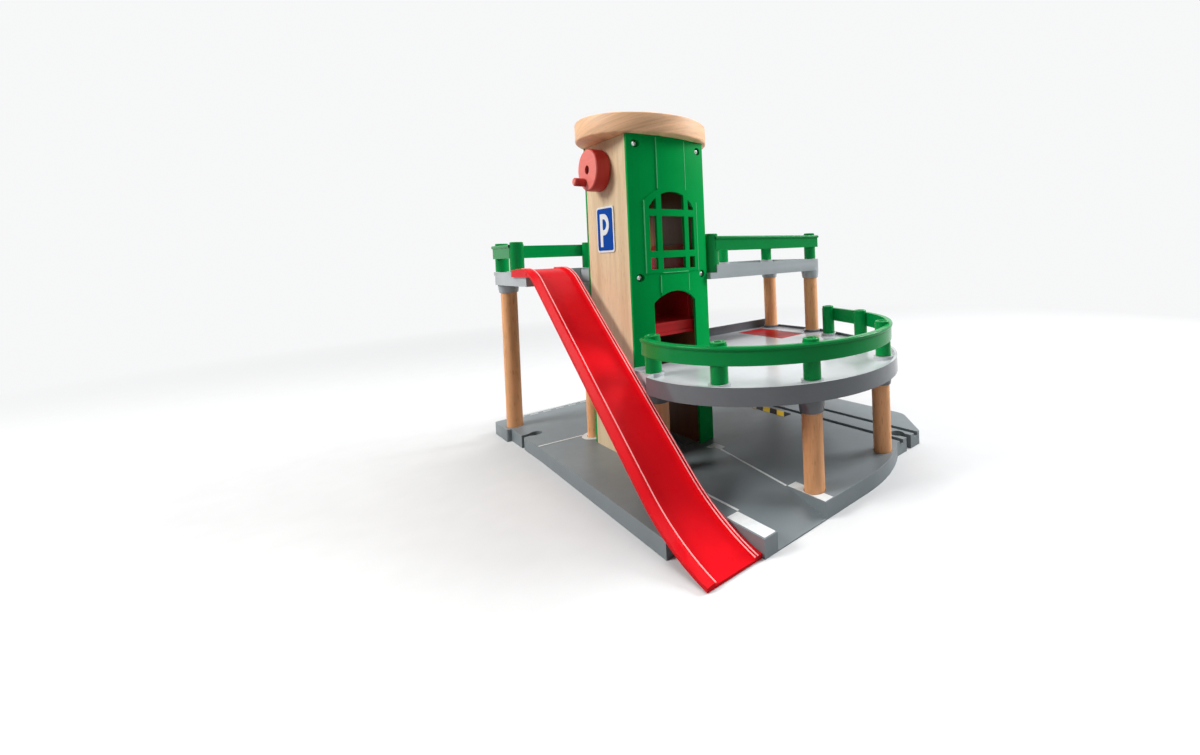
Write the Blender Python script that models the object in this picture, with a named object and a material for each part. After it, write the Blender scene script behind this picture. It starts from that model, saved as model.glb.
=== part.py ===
"""Toy parking garage: a lift tower between a middle and an upper parking deck, with a
slide ramp, a trapdoor over the train lane, wooden columns and a moulded base.

Metres, +Z up. The origin is on the ground under the middle of the tower. The front of the
tower faces -Y, the side that carries the crank wheel and the parking sign faces -X.
"""
import math

import bmesh
import bpy
from mathutils import Vector

# Clearances
GAP = 0.0003            # between pieces that rest on each other
SLIP = 0.0003           # radial, between a pin or a dowel and its hole
RUN = 0.0006            # between pieces that slide past each other
PAST = 0.010            # how far a cutter reaches past what it cuts
SINK = 0.001            # how far joined shapes and short cutters reach into each other
HAIR = 0.0001           # keeps the faces of joined shapes from lying in one plane

# Base moulding
BASE_HEIGHT = 0.013
BASE_LEFT = -0.084
BASE_LEFT_FRONT = -0.090
BASE_RIGHT = 0.215
BASE_FRONT = -0.207
BASE_BACK = 0.194
ROAD_NEAR = 0.069       # the wide road runs along X between this line and the back edge
BASE_LEFT_BACK = -0.0885  # the corner that carries the tall left column
BOSS_NEAR = 0.152
BASE_CORNER_Y = -0.150
RAMP_NOTCH = -0.160     # the base stops here, so that the ramp's foot lies on the ground
KERB_LEFT = -0.0479
KERB_RIGHT = -0.036
DRIVE_RIGHT = 0.013     # the sloped drive runs from the kerb to here
DRIVE_TOP = -0.168      # where the drive starts to slope
DRIVE_LIP = 0.001       # its thickness at the front edge
FRONT_CURVE_X = 0.065   # the front edge is straight up to here, then bends to the lane
LANE_X = 0.1605         # middle of the train lane, which runs along Y
LANE_WIDTH = 0.040
LANE_END = -0.188
TRACK_PITCH = 0.0255    # between the two wheel grooves
GROOVE_WIDTH = 0.006
GROOVE_DEPTH = 0.0035
SOCKET_NECK = 0.0075    # track sockets, keyhole shaped
SOCKET_HEAD = 0.0066
SOCKET_REACH = 0.0125
ROAD_SOCKET_Y = 0.117
BOSS_CORNER = 0.003     # corner radii of the base
BOSS_STEP = 0.002
LANE_CORNER = 0.018
BACK_CORNER = 0.012
PIT_FLOOR = 0.0015      # thickness left under the lift pit
PIT_EDGE = 0.0002       # the pit ends this far inside the boards' ends

# Tower
TOWER_WIDTH = 0.081     # along X, over the two boards
TOWER_DEPTH = 0.0832    # along Y, over the panels' straight edges
BOARD_THICKNESS = 0.014
BOARD_SEAT = 0.003      # how deep a board stands in the base
TOWER_TOP = 0.302
PANEL_THICKNESS = 0.003
PANEL_BULGE = 0.0065
LID_RADIUS = 0.0612
LID_THICKNESS = 0.0178
LID_ROUND = 0.0018
LID_DOWEL_RADIUS = 0.003
LID_DOWEL_LENGTH = 0.018
LID_DOWEL_SPREAD = 0.018
LID_DOWEL_X = 0.0335

# Openings in the panels: half widths, heights, arch heights
WINDOW_HALF = 0.0235
WINDOW_BOTTOM = 0.1823
WINDOW_SPRING = 0.2385
WINDOW_TOP = 0.2525
BAR_X = 0.0145
BAR_WIDTH = 0.005
BAR_LOW_Z = 0.1957
BAR_HIGH_Z = 0.2332
BAR_HEIGHT = 0.0062
DOOR_HALF = 0.022
DOOR_RISE = 0.0099      # height of a door's arch
DOOR_CLEAR = 0.064      # from a floor to the top of its door
GROUND_DOOR_TOP = 0.078

# Screws that hold the panels to the boards
SCREW_X = 0.033
SCREW_LOW_Z = 0.1755
SCREW_TOP_DROP = 0.0085  # upper screws below the tower's top
SCREW_HEAD = 0.0029
SCREW_HEAD_HEIGHT = 0.0017
SCREW_SHANK = 0.0014
SCREW_LENGTH = 0.013
SCREW_POCKET = 0.0036
SCREW_SEAT = 0.0013     # panel left under a screw's head

# Decks
DECK_THICKNESS = 0.0138
DECK_RIM = 0.0025
DECK_RECESS = 0.0028
MID_TOP = 0.098
MID_X = 0.0685          # centre of the round front of the middle deck
MID_Y = -0.092
MID_RADIUS = 0.1225
MID_TANGENT = -15.0     # degrees, where the round front passes into the straight side
MID_START = 174.6       # degrees, where the round front begins at the left
MID_BACK = 0.047
LOBE_X = -0.0472        # left edge beside the tower, clear of the ramp
LOBE_Y = -0.0430
LOBE_FRONT = -0.0765
BACK_LIP_THICKNESS = 0.003
BACK_LIP = 0.007        # raised edge along the back of the middle deck
UPPER_TOP = 0.1832
UPPER_RIGHT = 0.207
UPPER_NEAR = -0.047
UPPER_FAR = 0.046
UPPER_LEFT = -0.0894
UPPER_FRONT = 0.070     # front edge of the left part, where the ramp starts
UPPER_BACK = 0.175
UPPER_BEND = 0.060      # radius of the bend behind the tower
UPPER_STRIP = 0.070     # right edge of the strip behind the tower
UPPER_STEP = -0.036
RIGHT_CORNER = 0.005
STRIP_CORNER = 0.011
TONGUE_HALF = 0.0214
NOTCH_DEPTH = 0.0076
NOTCH_RIGHT = 0.0495
NOTCH_BACK = -0.0328

# Columns and their collars
COLUMN_RADIUS = 0.008
COLUMN_CHAMFER = 0.0006
COLUMN_SEAT = 0.006
REAR_SEAT = 0.004       # how deep the upper rear columns stand in the middle deck
COLLAR_LOW = 0.0090
COLLAR_HIGH = 0.0104
COLLAR_EDGE = 0.0004    # chamfer round a collar's foot
COLLAR_STRAIGHT = 0.0015
MID_COLLAR = 0.0113
UPPER_COLLAR = 0.0090
RING_RADIUS = 0.107     # the front columns stand on this circle about the deck's centre
LEFT_ANGLE = 168.5
FRONT_ANGLE = 244.5
RIGHT_ANGLE = 297.5
REAR_INSET = 0.0085      # rear columns from the upper deck's right edge,
REAR_NEAR_INSET = 0.0092  # its near edge
REAR_FAR_INSET = 0.0130  # and its far edge
TALL_INSET = 0.0125      # left and back columns from the edges of the strip
TALL_MID = (-0.0320, 0.0605)

# Railings
POST_RADIUS = 0.00675
POST_HEIGHT = 0.031
POST_CAP = 0.0063
POST_CAP_HEIGHT = 0.0026
POST_CUP = 0.0045       # shallow round hollow in a post's top
POST_CUP_DEPTH = 0.0012
POST_ROUND = 0.0006
POST_PEG = 0.0030
POST_PEG_LENGTH = 0.0055
POST_PAD = 0.0018       # width of the raised ring round a post's foot
BAND_OVERHANG = 3.5     # degrees that the band runs on past its first post
BAND_LOW = 0.0143       # band edges above the deck
BAND_HIGH = 0.0285
BAND_THICKNESS = 0.0045
BEAD_HEIGHT = 0.0032    # proud bead along a band's top edge
BEAD_OUT = 0.0007
POST_RING = 0.1105
BAND_RING = 0.1187      # outer face of the middle deck's band
POST_ANGLES = (LEFT_ANGLE, 208.0, FRONT_ANGLE, RIGHT_ANGLE, 341.0)
END_POST_RUN = 0.050    # from the tangent point to the last post
NEAR_POST_X = 0.050
RAIL_INSET = 0.0084     # posts of the upper railings from the deck's edges
FAR_POST_X = 0.125
BEND_POST_ANGLE = 218.0
STRIP_POST_RUN = 0.022
LEFT_POST_Y = 0.119
BACK_POST_X = 0.016

# Slide ramp
RAMP_LEFT = -0.0917
RAMP_RIGHT = -0.0484
RAMP_FLOOR = 0.0020
RAMP_WALL = 0.0062      # a wall's foot, from the outer edge to the inner face
RAMP_RIDGE = 0.0024     # flat top of a wall, on its inner side
RAMP_LEAN = 0.0004      # an inner face leans outwards by this much
RAMP_WALL_HEIGHT = 0.0046
RAMP_EDGE = 0.0010      # height of a wall's outer edge, from which it slopes up
RAMP_START_WALL = 0.0012
RAMP_END_WALL = 0.0016
RAMP_START = 0.092      # where its plate ends on the upper deck
RAMP_ARM = 0.105        # where its hook along the deck's left side ends
RAMP_FLAT_END = 0.077
RAMP_TOP_RADIUS = 0.054
RAMP_ANGLE = 38.3
RAMP_END_ANGLE = 9.0
RAMP_FOOT = -0.205
RAMP_SKIRT = 0.0045     # the hook reaches this far below the deck's top
RAMP_FOOT_GAP = 0.0004  # under the ramp's foot

# Lift
CAR_FLOOR_TOP = 0.1325
CAR_FLOOR = 0.0120
CAR_HALF_DEPTH = 0.0376
CAR_LEFT = -0.0200
CAR_RIGHT = 0.0260
CAR_WALL = 0.0032
CAR_TOP = 0.2048
CAR_WALL_HALF = 0.0330
CAR_ROUND = 0.0075
CAR_LIP = 0.0028        # ridges along the top and the bottom of the floor's ends
CAR_LIP_DEPTH = 0.0010
RUNNER_HALF = 0.0026
RUNNER_Y = 0.0310
LUG_Z = 0.1700
LUG_HALF = 0.0040
LUG_SIDE = 0.0022
WHEEL_Y = 0.005
WHEEL_DROP = 0.027      # axle below the tower's top
IDLER_Z = 0.031
DRUM_FLANGE = 0.0125
DRUM_GROOVE = 0.0086
DRUM_FLANGE_THICKNESS = 0.0012
CORD_RADIUS = 0.0007
AXLE_RADIUS = 0.0025
AXLE_CHAMFER = 0.0004
IDLER_PIN_END = -0.0360

# Crank wheel
KNOB_RADIUS = 0.0193
KNOB_THICKNESS = 0.0138
KNOB_ROUND = 0.0012
KNOB_HUB = 0.0040
KNOB_HUB_DEPTH = 0.0035
PEG_RADIUS = 0.0038
PEG_OUT = 0.0106
PEG_ROUND = 0.0010
PEG_OFFSET_Y = 0.005
PEG_OFFSET_Z = -0.011
PEG_SPIGOT = 0.0060
PEG_SPIGOT_RADIUS = 0.0022

# Parking sign
SIGN_WIDTH = 0.033
SIGN_HEIGHT = 0.0425
SIGN_Y = 0.0015
SIGN_DROP = 0.0545      # middle of the sign below the axle
SIGN_THICKNESS = 0.0007
SIGN_CORNER = 0.0035

# Trapdoor
TRAP_LEFT = 0.142
TRAP_RIGHT = 0.181
TRAP_NEAR = -0.041
TRAP_FAR = 0.034
TRAP_THICKNESS = 0.003
TRAP_AXIS_Y = -0.0375
TRAP_AXIS_DROP = 0.0048   # axis below the plate's top
TRAP_BARREL = 0.0031
TRAP_PIN = 0.0014
TRAP_PIN_REACH = 0.0045
TAB_Y = 0.000
TAB_HALF = 0.0125
TAB_OUT = 0.0130        # how far the tab stands out of the deck's side
TAB_ROOT = 0.0060       # how far the tab's web reaches under the plate
TAB_DROP = 0.0065       # tab's top below the plate's top
TAB_THICKNESS = 0.0030
SPRING_WIRE = 0.0005
SPRING_TURNS = 4
SPRING_PITCH = 0.0013

# Facets
ROUND_SEGMENTS = 24
SMALL_SEGMENTS = 12
CROWN_STEPS = 8         # the ramp's bend at its top
FOOT_STEPS = 10         # and at its foot
TONGUE_STEPS = 4        # a deck's edge on each side of its tongue

# Derived places
TOWER_HALF = TOWER_WIDTH / 2
DEPTH_HALF = TOWER_DEPTH / 2
BOARD_INNER = TOWER_HALF - BOARD_THICKNESS
BOARD_HALF = DEPTH_HALF - PANEL_THICKNESS
PANEL_RADIUS = (TOWER_HALF ** 2 + PANEL_BULGE ** 2) / (2 * PANEL_BULGE)
PANEL_APEX = DEPTH_HALF + PANEL_BULGE
MID_FLOOR = MID_TOP - DECK_RECESS
MID_BOTTOM = MID_TOP - DECK_THICKNESS
UPPER_FLOOR = UPPER_TOP - DECK_RECESS
UPPER_BOTTOM = UPPER_TOP - DECK_THICKNESS
REAR_X = UPPER_RIGHT - REAR_INSET
REAR_NEAR_Y = UPPER_NEAR + REAR_NEAR_INSET
REAR_FAR_Y = UPPER_FAR - REAR_FAR_INSET
REAR_POINTS = ((REAR_X, REAR_NEAR_Y), (REAR_X, REAR_FAR_Y))
TALL_LEFT = (UPPER_LEFT + TALL_INSET, UPPER_BACK - TALL_INSET)
TALL_BACK = (UPPER_STRIP - TALL_INSET, UPPER_BACK - TALL_INSET)
RAIL_NEAR_Y = UPPER_NEAR + RAIL_INSET
RAIL_FAR_Y = UPPER_FAR - RAIL_INSET
RAIL_RIGHT_X = UPPER_RIGHT - RAIL_INSET
RAIL_LEFT_X = UPPER_LEFT + RAIL_INSET
RAIL_BACK_Y = UPPER_BACK - RAIL_INSET
RAIL_END_X = UPPER_STRIP - RAIL_INSET
SCREW_ROWS = (SCREW_LOW_Z, TOWER_TOP - SCREW_TOP_DROP)
WHEEL_Z = TOWER_TOP - WHEEL_DROP
SIGN_Z = WHEEL_Z - SIGN_DROP
TRAP_AXIS_Z = MID_FLOOR - TRAP_AXIS_DROP
MID_SIDE = UPPER_RIGHT + 0.0005
DRUM_OUTER = -(BOARD_INNER - 0.0004)
DRUM_INNER = CAR_LEFT - RUN
CORD_X = (DRUM_OUTER + DRUM_INNER) / 2
CORD_REACH = DRUM_GROOVE + CORD_RADIUS + GAP


def clear_scene():
    for obj in list(bpy.data.objects):
        bpy.data.objects.remove(obj, do_unlink=True)


def material(name, colour, roughness, metallic=0.0):
    mat = bpy.data.materials.new(name)
    mat.use_nodes = True
    shader = mat.node_tree.nodes["Principled BSDF"]
    shader.inputs["Base Color"].default_value = (*colour, 1.0)
    shader.inputs["Roughness"].default_value = roughness
    shader.inputs["Metallic"].default_value = metallic
    mat.diffuse_color = (*colour, 1.0)
    return mat


# Colours by role; each sub-part gets its own material from one of them
GREY = ((0.22, 0.25, 0.28), 0.38)
GREEN = ((0.01, 0.33, 0.07), 0.30)
RED = ((0.68, 0.01, 0.02), 0.28)
WHEEL_RED = ((0.72, 0.09, 0.08), 0.45)
BEECH = ((0.78, 0.58, 0.38), 0.50)
CORD = ((0.80, 0.78, 0.72), 0.80)
STEEL = ((0.70, 0.70, 0.70), 0.25)
SIGN_BLUE = ((0.02, 0.09, 0.42), 0.35)


def new_object(name, mesh, look=None, metallic=0.0):
    """Link a mesh as an object; a named look gives it a material of its own."""
    obj = bpy.data.objects.new(name, mesh)
    bpy.context.scene.collection.objects.link(obj)
    if look:
        mesh.materials.clear()
        mesh.materials.append(material(name, look[0], look[1], metallic))
    return obj


def mesh_from(bm, name):
    """Turn finished mesh work into a mesh whose faces point out."""
    bmesh.ops.recalc_face_normals(bm, faces=bm.faces)
    mesh = bpy.data.meshes.new(name)
    bm.to_mesh(mesh)
    bm.free()
    return mesh


def shade(obj, angle=35.0):
    obj.data.shade_smooth()
    obj.data.set_sharp_from_angle(angle=math.radians(angle))
    return obj


def bake(obj):
    """Replace an object's mesh by what its modifiers make of it."""
    graph = bpy.context.evaluated_depsgraph_get()
    mesh = bpy.data.meshes.new_from_object(obj.evaluated_get(graph))
    obj.modifiers.clear()
    obj.data = mesh
    return obj


def combine(obj, operation, tools):
    """Join or cut an object with helper solids, which are used up."""
    for tool in tools:
        tool.hide_render = True
        tool.display_type = "WIRE"
        boolean = obj.modifiers.new(tool.name, "BOOLEAN")
        boolean.operation = operation
        boolean.solver = "EXACT"
        boolean.object = tool
    bake(obj)
    for tool in tools:
        bpy.data.objects.remove(tool, do_unlink=True)
    return obj


def join(obj, *tools):
    return combine(obj, "UNION", tools)


def cut(obj, *tools):
    return combine(obj, "DIFFERENCE", tools)


def finish(obj, look, metallic=0.0):
    """Give a finished solid its material and its shading."""
    obj.data.materials.clear()
    obj.data.materials.append(material(obj.name, look[0], look[1], metallic))
    for face in obj.data.polygons:
        face.material_index = 0
    return shade(obj)


def place(axis, along, u, v):
    """A point from its station along an axis and its two coordinates across it."""
    if axis == "X":
        return Vector((along, u, v))
    if axis == "Y":
        return Vector((u, along, v))
    return Vector((u, v, along))


def extrude(name, outline, start, end, axis="Z"):
    """A prism: the outline lies across the axis (YZ, XZ or XY)."""
    bm = bmesh.new()
    near = [bm.verts.new(place(axis, start, u, v)) for u, v in outline]
    far = [bm.verts.new(place(axis, end, u, v)) for u, v in outline]
    bm.faces.new(near)
    bm.faces.new(list(reversed(far)))
    count = len(outline)
    for i in range(count):
        j = (i + 1) % count
        bm.faces.new((near[i], far[i], far[j], near[j]))
    return new_object(name, mesh_from(bm, name))


def box(name, x0, x1, y0, y1, z0, z1):
    return extrude(name, ((x0, y0), (x1, y0), (x1, y1), (x0, y1)), z0, z1)


def turned(name, profile, axis, centre, segments=ROUND_SEGMENTS, bored=False):
    """Turn a profile of (station, radius) about an axis through centre (two coordinates
    across the axis). A bored profile is a closed loop that stays off the axis."""
    bm = bmesh.new()
    rings = []
    for along, radius in profile:
        if radius == 0.0:
            rings.append([bm.verts.new(place(axis, along, *centre))])
            continue
        ring = []
        for i in range(segments):
            angle = 2 * math.pi * i / segments
            u = centre[0] + radius * math.cos(angle)
            v = centre[1] + radius * math.sin(angle)
            ring.append(bm.verts.new(place(axis, along, u, v)))
        rings.append(ring)
    pairs = list(zip(rings, rings[1:]))
    if bored:
        pairs.append((rings[-1], rings[0]))
    for a, b in pairs:
        for i in range(segments):
            j = (i + 1) % segments
            if len(a) == 1:
                bm.faces.new((a[0], b[i], b[j]))
            elif len(b) == 1:
                bm.faces.new((a[i], b[0], a[j]))
            else:
                bm.faces.new((a[i], b[i], b[j], a[j]))
    if not bored:
        for ring in (rings[0], rings[-1]):
            if len(ring) > 1:
                bm.faces.new(ring)
    return new_object(name, mesh_from(bm, name))


def rod(name, axis, centre, start, end, radius, segments=ROUND_SEGMENTS, chamfer=0.0):
    """A round bar along an axis, with its ends chamfered where asked."""
    if chamfer:
        profile = ((start, radius - chamfer), (start + chamfer, radius),
                   (end - chamfer, radius), (end, radius - chamfer))
    else:
        profile = ((start, radius), (end, radius))
    return turned(name, profile, axis, centre, segments)


def arc(cx, cy, radius, first, last, steps):
    """Points of an arc, angles in degrees, both ends included."""
    points = []
    for i in range(steps + 1):
        angle = math.radians(first + (last - first) * i / steps)
        points.append((cx + radius * math.cos(angle), cy + radius * math.sin(angle)))
    return points


def rounded(corners, steps=3):
    """An outline with round corners, from (x, y, radius) in order."""
    outline = []
    count = len(corners)
    for i in range(count):
        before = Vector(corners[i - 1][:2])
        here = Vector(corners[i][:2])
        after = Vector(corners[(i + 1) % count][:2])
        radius = corners[i][2]
        if radius == 0.0:
            outline.append(tuple(here))
            continue
        a = (before - here).normalized()
        b = (after - here).normalized()
        half = a.angle(b) / 2
        middle = here + (a + b).normalized() * radius / math.sin(half)
        first = here + a * radius / math.tan(half) - middle
        last = here + b * radius / math.tan(half) - middle
        start = math.atan2(first.y, first.x)
        turn = (math.atan2(last.y, last.x) - start + math.pi) % (2 * math.pi) - math.pi
        for k in range(steps + 1):
            angle = start + turn * k / steps
            outline.append((middle.x + radius * math.cos(angle),
                            middle.y + radius * math.sin(angle)))
    return outline


def offset(outline, distance):
    """Move an anticlockwise outline inwards by a distance."""
    result = []
    count = len(outline)
    for i in range(count):
        a = Vector(outline[i - 1])
        b = Vector(outline[i])
        c = Vector(outline[(i + 1) % count])
        before = (b - a).normalized()
        after = (c - b).normalized()
        normal_before = Vector((-before.y, before.x))
        normal_after = Vector((-after.y, after.x))
        bisector = normal_before + normal_after
        scale = distance / (1 + normal_before.dot(normal_after))
        result.append(tuple(b + bisector * scale))
    return result


clear_scene()


def panel_depth(x, proud=0.0):
    """Distance along Y from the tower's middle to a panel's outer face."""
    return PANEL_APEX - PANEL_RADIUS + math.sqrt((PANEL_RADIUS + proud) ** 2 - x ** 2)


def arch(half, bottom, spring, top, steps=10):
    """Outline of an opening with an arched top, in (x, z)."""
    rise = top - spring
    radius = (half ** 2 + rise ** 2) / (2 * rise)
    first = math.degrees(math.atan2(spring - top + radius, half))
    crown = arc(0.0, top - radius, radius, first, 180.0 - first, steps)
    return [(-half, bottom), (half, bottom)] + crown


def mid_ring(radius, first=LEFT_ANGLE, run=0.0, steps=30):
    """The middle deck's front line: an arc, then a straight stretch along its tangent."""
    last = 360.0 + MID_TANGENT
    points = arc(MID_X, MID_Y, radius, first, last, steps)
    if run:
        points.append((points[-1][0] - run * math.sin(math.radians(last)),
                       points[-1][1] + run * math.cos(math.radians(last))))
    return points


def shifted(path, distance):
    """An open path moved to its right by a distance, with mitred corners."""
    moved = []
    for i, here in enumerate(path):
        here = Vector(here)
        before = Vector(path[max(i - 1, 0)])
        after = Vector(path[min(i + 1, len(path) - 1)])
        a = (here - before).normalized() if i else (after - here).normalized()
        b = (after - here).normalized() if i < len(path) - 1 else a
        normal_a = Vector((a.y, -a.x))
        normal_b = Vector((b.y, -b.x))
        mitre = (normal_a + normal_b) / (1 + normal_a.dot(normal_b))
        moved.append(tuple(here + mitre * distance))
    return moved


def ring_point(angle, radius):
    angle = math.radians(angle)
    return (MID_X + radius * math.cos(angle), MID_Y + radius * math.sin(angle))


# Places of columns and posts
FRONT_COLUMNS = {
    "column_front_left": ring_point(LEFT_ANGLE, RING_RADIUS),
    "column_front_middle": ring_point(FRONT_ANGLE, RING_RADIUS),
    "column_front_right": ring_point(RIGHT_ANGLE, RING_RADIUS),
}
REAR_COLUMNS = {
    "column_rear_near": (REAR_X, REAR_NEAR_Y),
    "column_rear_far": (REAR_X, REAR_FAR_Y),
}
TALL_COLUMNS = {
    "column_tall_left": TALL_LEFT,
    "column_tall_middle": TALL_MID,
    "column_tall_back": TALL_BACK,
}
MID_POSTS = [ring_point(angle, POST_RING) for angle in POST_ANGLES]
MID_POSTS.append(mid_ring(POST_RING, run=END_POST_RUN)[-1])
BEND_X = UPPER_STRIP + UPPER_BEND
BEND_Y = UPPER_FAR + UPPER_BEND
BEND_RADIUS = UPPER_BEND + UPPER_FAR - RAIL_FAR_Y
BEND_POST = arc(BEND_X, BEND_Y, BEND_RADIUS, BEND_POST_ANGLE, BEND_POST_ANGLE, 1)[0]
STRIP_POST = (BEND_X - BEND_RADIUS, BEND_Y + STRIP_POST_RUN)
RIGHT_POSTS = [(RAIL_RIGHT_X, RAIL_NEAR_Y), (RAIL_RIGHT_X, RAIL_FAR_Y),
               (FAR_POST_X, RAIL_FAR_Y), BEND_POST, STRIP_POST]
BACK_POSTS = [(RAIL_LEFT_X, LEFT_POST_Y), (RAIL_LEFT_X, RAIL_BACK_Y),
              (BACK_POST_X, RAIL_BACK_Y), (RAIL_END_X, RAIL_BACK_Y)]
NOTCH_FLOOR = UPPER_TOP - NOTCH_DEPTH
FOOT_Z = BASE_HEIGHT - COLUMN_SEAT


def base():
    """The moulded base: road, train lane, sloped drive, lift pit and sockets."""
    lane_left = LANE_X - LANE_WIDTH / 2
    lane_right = LANE_X + LANE_WIDTH / 2
    reach = lane_left - FRONT_CURVE_X
    rise = LANE_END - BASE_FRONT
    radius = (reach ** 2 + rise ** 2) / (2 * rise)
    sweep = math.degrees(math.asin(reach / radius))
    front = arc(FRONT_CURVE_X, BASE_FRONT + radius, radius, -90.0, -90.0 + sweep, 10)
    before = [(BASE_LEFT_BACK, BASE_BACK, BOSS_CORNER), (BASE_LEFT_BACK, BOSS_NEAR, BOSS_STEP),
              (BASE_LEFT, BOSS_NEAR, 0.0), (BASE_LEFT, ROAD_NEAR, 0.0),
              (BASE_LEFT_FRONT, RAMP_NOTCH, 0.0), (KERB_LEFT, RAMP_NOTCH, 0.0),
              (KERB_LEFT, BASE_FRONT, 0.0)]
    after = [(lane_right, LANE_END, 0.0), (BASE_RIGHT, BASE_CORNER_Y, LANE_CORNER),
             (BASE_RIGHT, BASE_BACK, BACK_CORNER)]
    outline = rounded(before + [(x, y, 0.0) for x, y in front] + after)
    body = extrude("base", outline, 0.0, BASE_HEIGHT)

    top = BASE_HEIGHT + PAST
    pit_y = BOARD_HALF - PIT_EDGE
    pocket = BOARD_HALF + GAP
    cutters = [
        box("pit", -BOARD_INNER, BOARD_INNER, -pit_y, pit_y, PIT_FLOOR, top),
        box("left pocket", -TOWER_HALF - GAP, GAP - BOARD_INNER, -pocket, pocket,
            BASE_HEIGHT - BOARD_SEAT, top),
        box("right pocket", BOARD_INNER - GAP, TOWER_HALF + GAP, -pocket, pocket,
            BASE_HEIGHT - BOARD_SEAT, top),
    ]
    for side in (-1, 1):
        x = LANE_X + side * TRACK_PITCH / 2
        cutters.append(box("groove", x - GROOVE_WIDTH / 2, x + GROOVE_WIDTH / 2,
                           LANE_END - PAST, BASE_BACK + PAST, BASE_HEIGHT - GROOVE_DEPTH, top))
    slope = (BASE_HEIGHT - DRIVE_LIP) / (DRIVE_TOP - BASE_FRONT)
    wedge = ((DRIVE_TOP + SINK, BASE_HEIGHT + SINK * slope), (DRIVE_TOP + SINK, top),
             (BASE_FRONT - PAST, top), (BASE_FRONT - PAST, DRIVE_LIP - PAST * slope))
    cutters.append(extrude("drive", wedge, KERB_RIGHT, DRIVE_RIGHT, "X"))
    cut(body, *cutters)

    sockets = []
    for x, y, dx, dy in ((LANE_X, LANE_END, 0, 1), (LANE_X, BASE_BACK, 0, -1),
                         (BASE_LEFT, ROAD_SOCKET_Y, 1, 0)):
        head = (x + dx * SOCKET_REACH, y + dy * SOCKET_REACH)
        half = SOCKET_NECK / 2
        xs = (x - dx * PAST - half * dy, head[0] + half * dy)
        ys = (y - dy * PAST - half * dx, head[1] + half * dx)
        sockets.append(box("neck", min(xs), max(xs), min(ys), max(ys), -PAST, top))
        sockets.append(rod("head", "Z", head, -PAST, top, SOCKET_HEAD, 20))
    cut(body, *sockets)

    holes = []
    for spot in (*FRONT_COLUMNS.values(), *REAR_COLUMNS.values(), *TALL_COLUMNS.values()):
        holes.append(rod("socket", "Z", spot, FOOT_Z, top, COLUMN_RADIUS + SLIP))
    cut(body, *holes)
    finish(body, GREY)


def board(name, side):
    """One wooden side of the tower; side is -1 for the side with the crank."""
    edges = (side * TOWER_HALF, side * BOARD_INNER)
    body = box(name, min(edges), max(edges), -BOARD_HALF, BOARD_HALF,
               BASE_HEIGHT - BOARD_SEAT + GAP, TOWER_TOP - GAP)
    holes = []
    depth = SCREW_LENGTH + SCREW_SEAT + GAP
    for face in (-1, 1):
        for z in SCREW_ROWS:
            ends = sorted((face * (BOARD_HALF + SINK), face * (BOARD_HALF + GAP - depth)))
            holes.append(rod("screw hole", "Y", (side * SCREW_X, z), *ends,
                             SCREW_SHANK + SLIP, SMALL_SEGMENTS))
        holes.append(rod("dowel hole", "Z", (side * LID_DOWEL_X, face * LID_DOWEL_SPREAD),
                         TOWER_TOP - LID_DOWEL_LENGTH / 2 - GAP, TOWER_TOP + SINK,
                         LID_DOWEL_RADIUS + SLIP, SMALL_SEGMENTS))
    if side < 0:
        outside = -TOWER_HALF - SINK
        inside = -BOARD_INNER + SINK
        holes.append(rod("axle hole", "X", (WHEEL_Y, WHEEL_Z), outside, inside,
                         AXLE_RADIUS + SLIP, SMALL_SEGMENTS))
        holes.append(rod("pin hole", "X", (WHEEL_Y, IDLER_Z), IDLER_PIN_END - GAP, inside,
                         AXLE_RADIUS + SLIP, SMALL_SEGMENTS))
    cut(body, *holes)
    finish(body, BEECH)


def panel(name, face, openings):
    """A bulged panel between the boards; face is -1 at the front and 1 at the back."""
    seat = BOARD_HALF + GAP
    inner = BOARD_INNER - GAP
    steps = 16
    xs = [-TOWER_HALF + TOWER_WIDTH * i / steps for i in range(steps + 1)]
    outline = [(x, -panel_depth(x)) for x in xs]
    outline += [(TOWER_HALF, -seat), (inner, -seat)]
    xs = [inner - 2 * inner * i / 10 for i in range(11)]
    outline += [(x, PANEL_THICKNESS - panel_depth(x)) for x in xs]
    outline += [(-inner, -seat), (-TOWER_HALF, -seat)]
    outline = [(-face * x, -face * y) for x, y in outline]
    body = extrude(name, outline, BASE_HEIGHT + GAP, TOWER_TOP - GAP)
    far = face * (PANEL_APEX + PAST)
    cutters = []
    for z in SCREW_ROWS:
        for side in (-1, 1):
            spot = (side * SCREW_X, z)
            pocket = sorted((face * (seat + SCREW_SEAT), far))
            hole = sorted((face * (seat - SINK), far))
            cutters.append(rod("pocket", "Y", spot, *pocket, SCREW_POCKET, 16))
            cutters.append(rod("hole", "Y", spot, *hole, SCREW_SHANK + SLIP, SMALL_SEGMENTS))
    cut(body, *cutters)
    ends = sorted((face * (BOARD_HALF - 2 * SINK), far))
    cut(body, *[extrude("door", outline, *ends, "Y") for outline in openings])
    return body


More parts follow.
